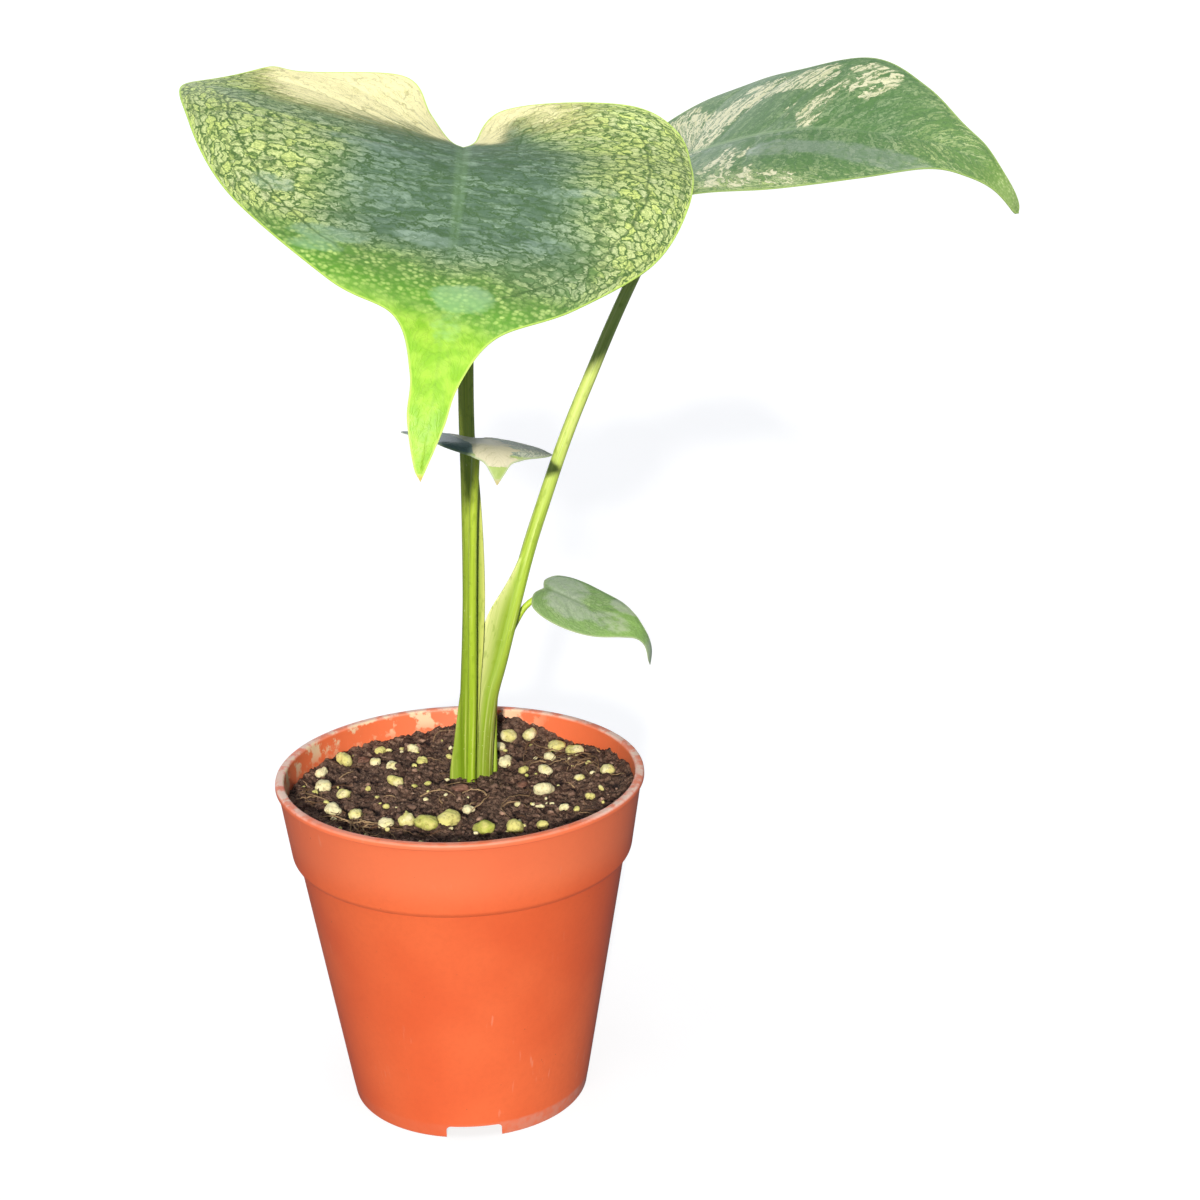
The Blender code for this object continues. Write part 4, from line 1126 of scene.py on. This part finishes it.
def front_pattern(across, along, margin):
    """Grey-green in the middle, the grey a painted sheen, netted in yellow-green towards the sides,
    creamy at the back of both lobes, partly variegation and partly a painted glow of light through
    them, lime towards the tip, a painted darker sheen on the upper left ridge and a few smooth silvery
    spots."""
    off = np.abs(across)
    # The cream at the back of both lobes is partly cream variegation and partly a painted glow of light
    # through the thin lobes.
    back = np.where(across < 0, step_between(-along, -9, 28) * step_between(off, 82, 46),
                    0.62 * step_between(-along, 4, 34) * step_between(off, 56, 22))
    notch = step_between(margin, 15, 1) * step_between(-along, 1, 10) * step_between(off, 34, 12)
    cream = np.maximum(back, notch)
    # Where outer is low the middle keeps its grey-green, which is partly a painted sheen.
    outer = step_between(off + np.where(across < 0, 0.25, 0.8) * np.maximum(-along, 0), 18, 54)
    # Painted shade and sheen on the upper left ridge: it pulls the colour back to the grey-green middle and
    # adds some silver.
    ridge_shade_sheen = np.clip(spots(across, along, (1.3, -56, 0, 27, 13, 8), (0.8, -36, -12, 24, 10, -20)), 0, 1)
    outer = outer * (1 - 0.5 * ridge_shade_sheen)
    outer = np.maximum(outer, 0.5 * step_between(along, 56, 84))
    lime = step_between(along + across * np.where(across < 0, -0.12, -0.4), 58, 116)
    density = 0.42 + 0.48 * outer - spots(across, along, (0.2, 40, 80, 36, 24, -40))
    density += 0.25 * step_between(margin, 24, 5) * outer
    density += 0.2 * step_between(across, 42, 62) - 0.6 * step_between(along, 98, 118)
    mint = 0.15 * ridge_shade_sheen + spots(
        across, along, (1, 4, 94, 11, 9), (0.8, -34, 75, 15, 6, -10), (0.8, -8, 65, 12, 5.5),
        (0.7, -52, 54, 9, 7), (0.6, 28, 33, 9, 5), (0.5, 40, 31, 10, 5), (0.5, 1, 108, 6, 9),
        (0.6, -26, 18, 20, 6, 8), (0.5, -22, 46, 14, 7, 4), (0.5, 26, 62, 12, 6, -6),
        (0.7, -37, 83, 10, 4.5, -12))
    return {"netting": density, "outer": outer, "cream": np.clip(cream, 0, 1), "mint": np.clip(mint, 0, 1),
            "lime": lime}


def right_pattern(across, along, margin):
    """Mid green, with broken cream patches along the far side, speckles on the near edge and grey
    spots of painted sheen along the near half.
    """
    cream = spots(
        across, along, (0.95, 33, -19, 14.4, 11.2), (0.95, 22, -7, 17.6, 12.8), (0.9, 14, 0, 14.4, 9.6),
        (0.7, 4, 3, 11.2, 8), (0.85, 26, 6, 14.4, 9.6), (0.7, 37, 8, 12.8, 9.6), (0.75, 38, 17, 9.6, 9.6),
        (0.75, 38, 26, 9.6, 9.6), (0.7, 37, 34, 11.2, 8), (0.7, 36, 49, 14.4, 8), (0.65, 31, 57, 14.4, 8),
        (0.65, 12, 41, 14.4, 6.4), (0.5, 14, 33, 9.6, 4.8), (0.65, -22, 24, 14.4, 9.6),
        (0.55, -40, 34, 14.4, 9.6), (0.5, -42, 47, 11.2, 12.8), (0.4, -43, 62, 8, 12.8),
        (0.5, 26, 44, 8, 4.8))
    cream = np.minimum(cream, 0.95) * step_between(margin, 1.0, 4.0)
    outer = 0.25 + 0.6 * step_between(-across, 22, 50) + 0.45 * step_between(along, 62, 95)
    density = 0.46 + 0.3 * step_between(-across, 28, 48)
    density -= 0.2 * step_between(along, 92, 106)
    # Painted sheen: grey spots along the near half.
    mint = spots(across, along, (0.45, 1, 34, 8, 14), (0.75, -16, 70, 9, 32, 4), (0.65, -16, 40, 10, 16),
                 (0.4, -6, 14, 5, 16))
    lime = 0.3 * step_between(along, 80, 112) + 0.35 * step_between(-across, 38, 54)
    lime += 0.5 * step_between(along, 98, 112)
    return {"netting": density, "outer": outer, "cream": cream, "mint": np.clip(mint, 0, 1),
            "lime": lime}


def small_right_pattern(across, along, margin):
    """Soft grey-green with large faint blotches."""
    mint = spots(across, along, (0.8, 7, 5, 11, 10), (0.8, -5, 9, 9, 11), (0.8, 10, 26, 7, 8),
                 (0.6, -3, 24, 8, 9))
    mint = mint + 0.9 * step_between(along, 34, 42)
    lime = 0.5 * step_between(along, 14, 30) * step_between(along, 40, 32)
    lime += 0.2 * step_between(-across, 8, 16) + 0.3 * step_between(along, 34, 42)
    return {"netting": 0.5 + 0 * across, "outer": 0.5 + 0 * across, "cream": 0 * across,
            "mint": np.clip(mint, 0, 1), "lime": lime}


def small_front_pattern(across, along, margin):
    """Blue-green on the left, darkened as painted shade, cream along the midrib and netted grey-green on
    the right.
    """
    wander = 1.5 * np.sin(along * 1.1) + 0.9 * np.sin(along * 2.9 + 1)
    cream = step_between(across, -8, -5) * step_between(across + wander, 5.6, 4.6)
    cream = cream * step_between(along + wander, 35, 30)
    density = 0.1 + 0.6 * step_between(across, 3, 8)
    return {"netting": density, "outer": 0.3 + 0.5 * step_between(across, 2, 8), "cream": cream,
            "mint": 0 * across, "lime": step_between(along + wander, 29, 36)}


LEAF_PATTERNS = {"front_leaf": front_pattern, "right_leaf": right_pattern,
                 "small_right_leaf": small_right_pattern, "small_front_leaf": small_front_pattern}
FLAT_CELLS = {"voronoi_dimensions": "2D"}
VEIN_NET = {"voronoi_dimensions": "2D", "feature": "DISTANCE_TO_EDGE"}


def leaf_top(name, look):
    """Waxy top of a living leaf: cells of pale tissue inside a net of darker veins, drawn out
    along the side veins, with a clear edge and a sheen that is stronger on the silvery spots."""
    skin, add = new_skin(name, 0.42, IOR=1.45)
    flat, flow = (add("Attribute", attribute_name=key, out="Vector") for key in ("blade", "flow"))
    margin, netting, outer_at, cream_at, mint_at, lime_at = (
        add("Attribute", attribute_name=key, out="Fac")
        for key in ("margin", "netting", "outer", "cream", "mint", "lime"))
    across, along, _ = add("SeparateXYZ", flat, out=slice(3))
    off_midrib = add("Math ABSOLUTE", across)

    def wavy(place, scale, detail=4, reach=1, stretch=None):
        """Noise round 0, of some reach, stretched along the axes where it has a stretch."""
        place = add("VectorMath MULTIPLY", place, stretch) if stretch else place
        return add("Math MULTIPLY", add("Math SUBTRACT", add("TexNoise", place, scale, detail), 0.5), reach)

    def bent(scale, detail, reach):
        """Places on the flat blade shifted by noise."""
        shift = add("TexNoise", flat, scale, detail, out="Color")
        shift = add("VectorMath SUBTRACT", shift, (0.5, 0.5, 0.5))
        return add("VectorMath MULTIPLY", shift, (reach, reach, 0))

    # The net: flow coordinates bent at two sizes, so that no vein runs smooth or straight.
    drawn = add("VectorMath MULTIPLY", flow, (look.draw, 1, 0))
    drawn = add("VectorMath ADD", drawn, bent(0.3, 3, 4.5))
    drawn = add("VectorMath ADD", drawn, bent(2.2 / look.cell, 3, 0.85 * look.cell))
    picks = add("TexVoronoi", drawn, 1 / look.cell, out="Color", **FLAT_CELLS)
    picks = add("SeparateColor", picks, out=slice(3))
    net, fine, coarse = (add("TexVoronoi", drawn, scale / look.cell, **VEIN_NET) for scale in (1, 2.3, 0.3))
    width = add("MapRange", wavy(flat, 1.1 / look.cell, 3), -0.15, 0.15, 0.45, 1.5)
    net = add("Math DIVIDE", net, width)
    density = add("Math ADD", netting, wavy(flat, 0.09, 4, 0.9))
    chance = add("Math ADD", add("Math MULTIPLY", picks[0], 0.5), wavy(flat, 1.4 / look.cell, 3, 1.3))
    chosen = add("Math SUBTRACT", density, add("Math ADD", chance, 0.25))
    pale = faded(add, add("MapRange", chosen, -0.35, 0.35), (net, 0, 0.2, 0.15, 1),
                 (fine, 0, 0.25, 0.45, 1))
    # Round pale dots take over where the green turns to lime, and soft clouds at the very tip.
    dots = add("VectorMath ADD", flat, bent(1.6 / look.cell, 2, 0.8))
    from_dot, dot_pick = add("TexVoronoi", dots, 1.8 / look.cell, out=slice(2), **FLAT_CELLS)
    many = add("MapRange", wavy(flat, 0.16), -0.2, 0.2, 0.35, 1)
    many = faded(add, many, (add("SeparateColor", dot_pick), 0.05, 0.8, 0.25, 1))
    speckle = add("Math MULTIPLY", add("MapRange", from_dot, 0.15, 0.62, 1, 0), many)
    clouds = add("MapRange", wavy(flat, 0.2, 2), -0.14, 0.16, 0.1, 0.75)
    # Ground and cells, from the middle of the blade outwards and towards the tip.
    outer = add("MapRange", add("Math ADD", outer_at, wavy(flat, 0.06, 4, 0.5)), 0, 1)
    lime = add("MapRange", add("Math ADD", lime_at, wavy(flat, 0.07, 4, 0.4)), 0, 1)
    lime = faded(add, lime, (lime_at, 0, 0.1))
    pale = add("Mix", add("MapRange", lime, 0.05, 0.4), pale, speckle, data_type="FLOAT")
    pale = add("Mix", add("MapRange", lime_at, 0.72, 0.98), pale, clouds, data_type="FLOAT")

    def graded(middle, sides, leafy, green, tip):
        """A colour on its way from the middle of the blade to the sides and to the tip."""
        return layered(add, add("Mix", outer, middle, sides), (lime, 0, 0.4, 0, 1, leafy),
                       (lime, 0.4, 1, 0, 1, green), (lime_at, 0.82, 1, 0, 1, tip))

    ground = graded(look.deep, look.green, look.leafy, look.lime, look.tip)
    cells = graded(look.deep_cell, add("Mix", picks[1], look.pale, look.yellow), look.leafy_cell,
                   look.lime_cell, look.tip_cell)
    dashes = add("MapRange", wavy(drawn, 1, stretch=(0.16, 0.7, 1)), 0.02, 0.2, 0, look.dashes)
    ground = add("Mix", faded(add, dashes, (lime, 0.1, 0.8, 1, 0.3)), ground, look.vein)
    colour = add("Mix", pale, ground, cells)
    # Smooth silvery spots without veins: on the right leaf a painted grey sheen along its near half, on the
    # front leaf's upper left ridge partly painted sheen.
    silvery = add("MapRange", add("Math ADD", mint_at, wavy(flat, 0.35, 6, 1.3)), 0.2, 0.95)
    silvery = faded(add, silvery, (mint_at, 0, 0.3))
    silver = add("Mix", lime, look.mint, look.mint_lime)
    colour = add("Mix", add("Math MULTIPLY", silvery, look.spots), colour, silver)
    line = faded(add, add("MapRange", net, 0.015, 0.15, 1, 0), (chosen, -0.6, 0.1, look.crackle, 1))
    line = add("Math MAXIMUM", line, add("MapRange", coarse, 0.01, 0.07, look.coarse, 0))
    line = faded(add, line, (silvery, 0, 0.8, look.net, look.net * 0.5), (lime, 0, 0.6, 1, 0.15))
    colour = add("Mix", line, colour, look.vein)
    # Cream tissue without chlorophyll, streaked along the side veins, with thin veins left in it.
    streak = wavy(drawn, 1, stretch=(look.streaky, 0.55, 1))
    creamy = add("Math MULTIPLY", cream_at, look.cream_gain)
    creamy = add("Math ADD", creamy, add("Math MULTIPLY", streak, look.ragged))
    creamy = add("Math SUBTRACT", creamy, add("Math MULTIPLY", picks[2], look.cream_pick))
    creamy = faded(add, add("MapRange", creamy, 0, look.cream_soft), (cream_at, 0, 0.12))
    gaps = wavy(drawn, 1.3 / look.cell, 5, stretch=(0.8, 1, 1))
    creamy = add("Math SUBTRACT", creamy, faded(add, creamy, (gaps, -0.08, 0.01, look.gaps, 0)))
    hatch = wavy(drawn, 1, 5, stretch=(0.22, 1.5, 1))
    cream = add("Mix", add("MapRange", hatch, 0.03, 0.16), look.cream, look.cream_dark)
    cream = add("Mix", add("MapRange", creamy, 0.3, 0.95), look.tan, cream)
    long = add("TexVoronoi", add("VectorMath MULTIPLY", drawn, (0.28, 1, 0)), 0.7 / look.cell, **VEIN_NET)
    thin = add("Math MAXIMUM", add("MapRange", long, 0.012, 0.05, look.cream_veins, 0),
               add("MapRange", net, 0.01, 0.09, 0.4 * look.cream_veins, 0))
    cream = add("Mix", faded(add, thin, (cream_at, 0.4, 1, 1, 0.55)), cream, look.cream_vein)
    colour = add("Mix", creamy, colour, cream)
    # Side veins, the looping veins inside the margin, the midrib and the edge.
    side_vein = add("MapRange", add("SeparateXYZ", flow, out=2), 0.2, 0.9, look.veins, 0)
    colour = add("Mix", faded(add, side_vein, (margin, 2, 8), (off_midrib, 1, 5)), colour, look.vein)
    for distance, share, wander in look.loops:
        away = add("Math SUBTRACT", margin, add("Math ADD", wavy(flat, 0.1, 4, wander), distance))
        loop = add("MapRange", add("Math ABSOLUTE", away), 0.1, 0.7, share, 0)
        loop = faded(add, loop, (add("Math MAXIMUM", lime, creamy), 0.1, 0.7, 1, 0.1))
        colour = add("Mix", loop, colour, look.vein)
    tapered = add("Math SUBTRACT", look.rib, add("Math MULTIPLY", along, look.rib / look.length))
    rib = add("Math DIVIDE", off_midrib, add("Math MAXIMUM", tapered, 0.2))
    rib = faded(add, add("MapRange", rib, 0.4, 1.1, look.rib_share, 0),
                (along, look.length * 0.25, look.length * 0.6, 1, 0.2))
    colour = add("Mix", rib, colour, add("Mix", lime, look.midrib, look.lime))
    keel = faded(add, add("MapRange", off_midrib, 0.1, 0.7, 0.5 * look.rib_share, 0),
                 (lime, 0, 0.6, 1, 0.2))
    colour = add("Mix", keel, colour, look.vein)
    colour = layered(add, colour, (margin, 0.25, 0.7, 0.8, 0, look.edge),
                     (along, look.length - 2.4, look.length - 0.8, 0, look.point, "#E9B46A"))
    sheen = add("MapRange", silvery, 0, 0.8, 0.46, 0.34)
    height = add("Math MULTIPLY", add("MapRange", net, 0, 0.2), 0.7)
    height = add("Math ADD", height, add("Math MULTIPLY", fine, 0.6))
    return finished(skin, colour, sheen, faded(add, height, (silvery, 0, 0.6, 1, 0.15)), 0.05)


def leaf_underside(name, look):
    """Dull underside: paler green, with lighter veins standing out of it."""
    skin, add = new_skin(name, 0.6, IOR=1.4)
    flat, flow = (add("Attribute", attribute_name=key, out="Vector") for key in ("blade", "flow"))
    cream_at, lime_at = (add("Attribute", attribute_name=key, out="Fac") for key in ("cream", "lime"))
    net = add("TexVoronoi", flow, 1 / look.cell, **VEIN_NET)
    colour = layered(add, look.below, (add("TexNoise", flat, 0.12, 4), 0.35, 0.65, 0, 1, look.below_pale))
    colour = add("Mix", add("Math MULTIPLY", cream_at, 0.8), colour, look.cream)
    colour = add("Mix", add("Math MULTIPLY", lime_at, 0.5), colour, look.lime)
    off_midrib = add("Math ABSOLUTE", add("SeparateXYZ", flat))
    colour = layered(add, colour, (net, 0.02, 0.1, 0.45, 0, look.below_vein),
                     (add("SeparateXYZ", flow, out=2), 0.2, 0.9, 0.7, 0, look.below_vein),
                     (off_midrib, look.rib * 0.4, look.rib * 1.2, 0.9, 0, look.below_vein))
    return finished(skin, colour, None, add("MapRange", net, 0, 0.15), 0.08)


# Colours of the tissues, then the size of a cell in millimetres and how strongly each marking
# shows. The other leaves give only what differs from the front leaf. Some colours stand in for
# light: the front leaf's grey-green middle (deep, deep_cell) is partly a painted sheen, the right
# leaf's grey mint is a painted sheen, and the small front leaf's dark blue-green middle is partly
# painted shade.
FRONT_LOOK = dict(
    deep="#5F7B60", deep_cell="#96B092", green="#7DA24C", pale="#D8E2A4", yellow="#DEEC88",
    leafy="#66933E", leafy_cell="#CAE488", lime="#6CA834", lime_cell="#C8EA78", tip="#8CC822",
    tip_cell="#B6E246", cream="#F6EFB6", cream_dark="#DED896", tan="#B0A66E", cream_vein="#85824E",
    vein="#45662F", mint="#A0B9A4", mint_lime="#A6DB8C", midrib="#7FA070", edge="#CBEB6A",
    below="#7FA35A", below_pale="#9DBB78", below_vein="#C3D69A", cell=3.1, draw=1.0, net=0.8,
    crackle=0.5, coarse=0.75, dashes=0.35, veins=0.15, spots=0.6, cream_gain=1.5, cream_pick=0.15,
    cream_soft=1.25, ragged=1.3, cream_veins=0.7, streaky=0.1, gaps=0.0, rib=3.0, rib_share=0.4,
    point=0.6, loops=((2.6, 0.4, 1.5), (13.0, 0.7, 5.0)))
OTHER_LOOKS = {
    "right_leaf": dict(
        deep="#5C844C", deep_cell="#8EA87C", green="#739850", pale="#D0DCA2", yellow="#C2D284",
        leafy="#749A4C", leafy_cell="#A8C078", lime="#90B25E", lime_cell="#C6DA94", tip="#9ABC66",
        tip_cell="#CCE09C", cream="#EAE8C0", cream_dark="#D6D8A2", tan="#C2C698",
        cream_vein="#7C9858", vein="#507448", mint="#98A894", midrib="#A0BA8A", edge="#A8C46C",
        cell=1.9, draw=0.5, net=0.6, coarse=0.2, veins=0.12, cream_gain=1.0, cream_pick=0.9,
        cream_soft=0.2, ragged=1.0, cream_veins=0.5, streaky=0.3, gaps=0.85, rib=2.4, rib_share=0.6,
        point=0.0, loops=((2.0, 0.3, 1.5),)),
    "small_right_leaf": dict(
        deep="#94BE6C", deep_cell="#B0D08E", green="#A4CC76", pale="#C4DA9E", yellow="#CBE09C",
        leafy="#9CC868", leafy_cell="#B6DA88", lime="#A6D460", lime_cell="#BCE07A", tip="#B4CE7A",
        tip_cell="#C8DA96", vein="#70925A", mint="#D6E0CC", mint_lime="#F4F8CE", midrib="#8CAA72",
        edge="#C6D8A0", cell=1.6, net=0.5, coarse=0.3, dashes=0.5, veins=0.25, spots=0.65, rib=1.4,
        point=0.0, loops=((1.5, 0.2, 1.0),)),
    "small_front_leaf": dict(
        deep="#7C989A", deep_cell="#94A8A4", green="#CAD4BC", pale="#F4F2DC", yellow="#E2E4C6",
        leafy="#BCD080", leafy_cell="#CEDC98", lime="#AAC462", lime_cell="#BCD27C", tip="#AAC462",
        tip_cell="#BCD27C", cream="#E6E0C0", cream_dark="#D6D1AA", tan="#D6D1AA",
        cream_vein="#BAB898", vein="#74867A", edge="#C6D6A6", cell=1.5, net=0.75, coarse=0.2,
        veins=0.1, cream_pick=0.3, cream_soft=0.3, ragged=0.8, cream_veins=0.25, rib=0.8,
        rib_share=0.0, point=0.4, loops=((1.6, 0.2, 1.0),)),
}
for name in BLADES:
    look = SimpleNamespace(**{**FRONT_LOOK, **OTHER_LOOKS.get(name, {})}, length=BLADES[name]["length"])
    points, faces, tops, attributes = blade_mesh(name)
    skins = [leaf_top("waxy_leaf_" + name, look), leaf_underside("dull_underside_" + name, look)]
    leaf = new_piece(name.replace("leaf", "blade"), points, faces, skins, name, [name], attributes,
                     sharp=60)
    below = np.zeros(len(leaf.data.polygons), np.int32)
    below[tops:] = 1
    leaf.data.polygons.foreach_set("material_index", below)


# Studio ------------------------------------------------------------------------------------------
# A pale seamless floor, one key light from the front and a little above, and an even soft fill.

FLOOR_REACH = 30000
WALL_DISTANCE = 9000
WALL_CURVE = 3000
WALL_TOP = 12000
WALL_SEGMENTS = 96
SKY_STRENGTH = 0.22
LENS_LENGTH = 69.5
CAMERA_PLACE = (0.0465, -0.7008, 0.3986)
CAMERA_DIP = 18.05
CAMERA_ROLL = -1.0


def studio_white():
    """Backlit white acrylic: matt and evenly bright, with shadows that stay light."""
    skin, add = new_skin("backlit_acrylic", 0.9, Emission_Color=(1, 1, 1, 1), Emission_Strength=0.75)
    place = add("TexCoord", out="Object")
    tint = add("MapRange", add("TexNoise", place, 1000 / 60, 2, 0.55), 0.3, 0.7)
    return finished(skin, add("Mix", tint, "#9A9A99", "#9E9E9D"))


def staged(name, points, faces, skin):
    """A piece of the studio: seen by the camera, but it throws no light or colour on the plant."""
    made = smooth_object(name, points, faces, [skin])
    made.visible_diffuse = False
    made.visible_glossy = False
    return made


white = studio_white()
reach = FLOOR_REACH
staged("floor", [(-reach, -reach, 0), (reach, -reach, 0), (reach, reach, 0), (-reach, reach, 0)],
       [(0, 1, 2, 3)], white)
wall_rings = [(WALL_DISTANCE, -1)]
wall_rings += [(WALL_DISTANCE + WALL_CURVE * math.sin(t), WALL_CURVE * (1 - math.cos(t)))
               for t in np.linspace(0.05, 1.5, 14)]
wall_rings.append((WALL_DISTANCE + WALL_CURVE + 200, WALL_TOP))
wall_points = [place for ring in wall_rings for place in circle(*ring, WALL_SEGMENTS)]
wall = staged("backdrop", wall_points, strips(len(wall_rings), WALL_SEGMENTS), white)
wall.visible_shadow = False

for lamp_name, direction, energy, spread, tint in (
        ("key", (-0.031, -1.0, 0.346), 3.7, 2.2, "#FFF9F0"),
        ("overhead", (0.0, -0.25, 1.0), 1.2, 45.0, "#F4F7FF"),
        ("behind", (-0.35, 1.0, 0.12), 0.7, 40.0, "#F7F8FF")):
    lamp_data = bpy.data.lights.new(lamp_name, "SUN")
    lamp_data.energy, lamp_data.angle, lamp_data.color = energy, math.radians(spread), linear(tint)[:3]
    lamp = placed(lamp_name, lamp_data)
    lamp.rotation_euler = Vector(direction).to_track_quat("Z", "Y").to_euler()

world = bpy.data.worlds.new("studio")
bpy.context.scene.world = world
world.use_nodes = True
sky = world.node_tree.nodes["Background"].inputs
sky["Color"].default_value = linear("#D2E2FF")
sky["Strength"].default_value = SKY_STRENGTH

bpy.context.scene.view_settings.view_transform = "Standard"

lens = bpy.data.cameras.new("camera")
lens.sensor_width, lens.lens = 36.0, LENS_LENGTH
camera = placed("camera", lens)
pitch, roll = math.radians(90 - CAMERA_DIP), math.radians(CAMERA_ROLL)
camera.matrix_world = (Matrix.Translation(CAMERA_PLACE) @ Matrix.Rotation(pitch, 4, "X")
                       @ Matrix.Rotation(roll, 4, "Z"))
bpy.context.scene.camera = camera
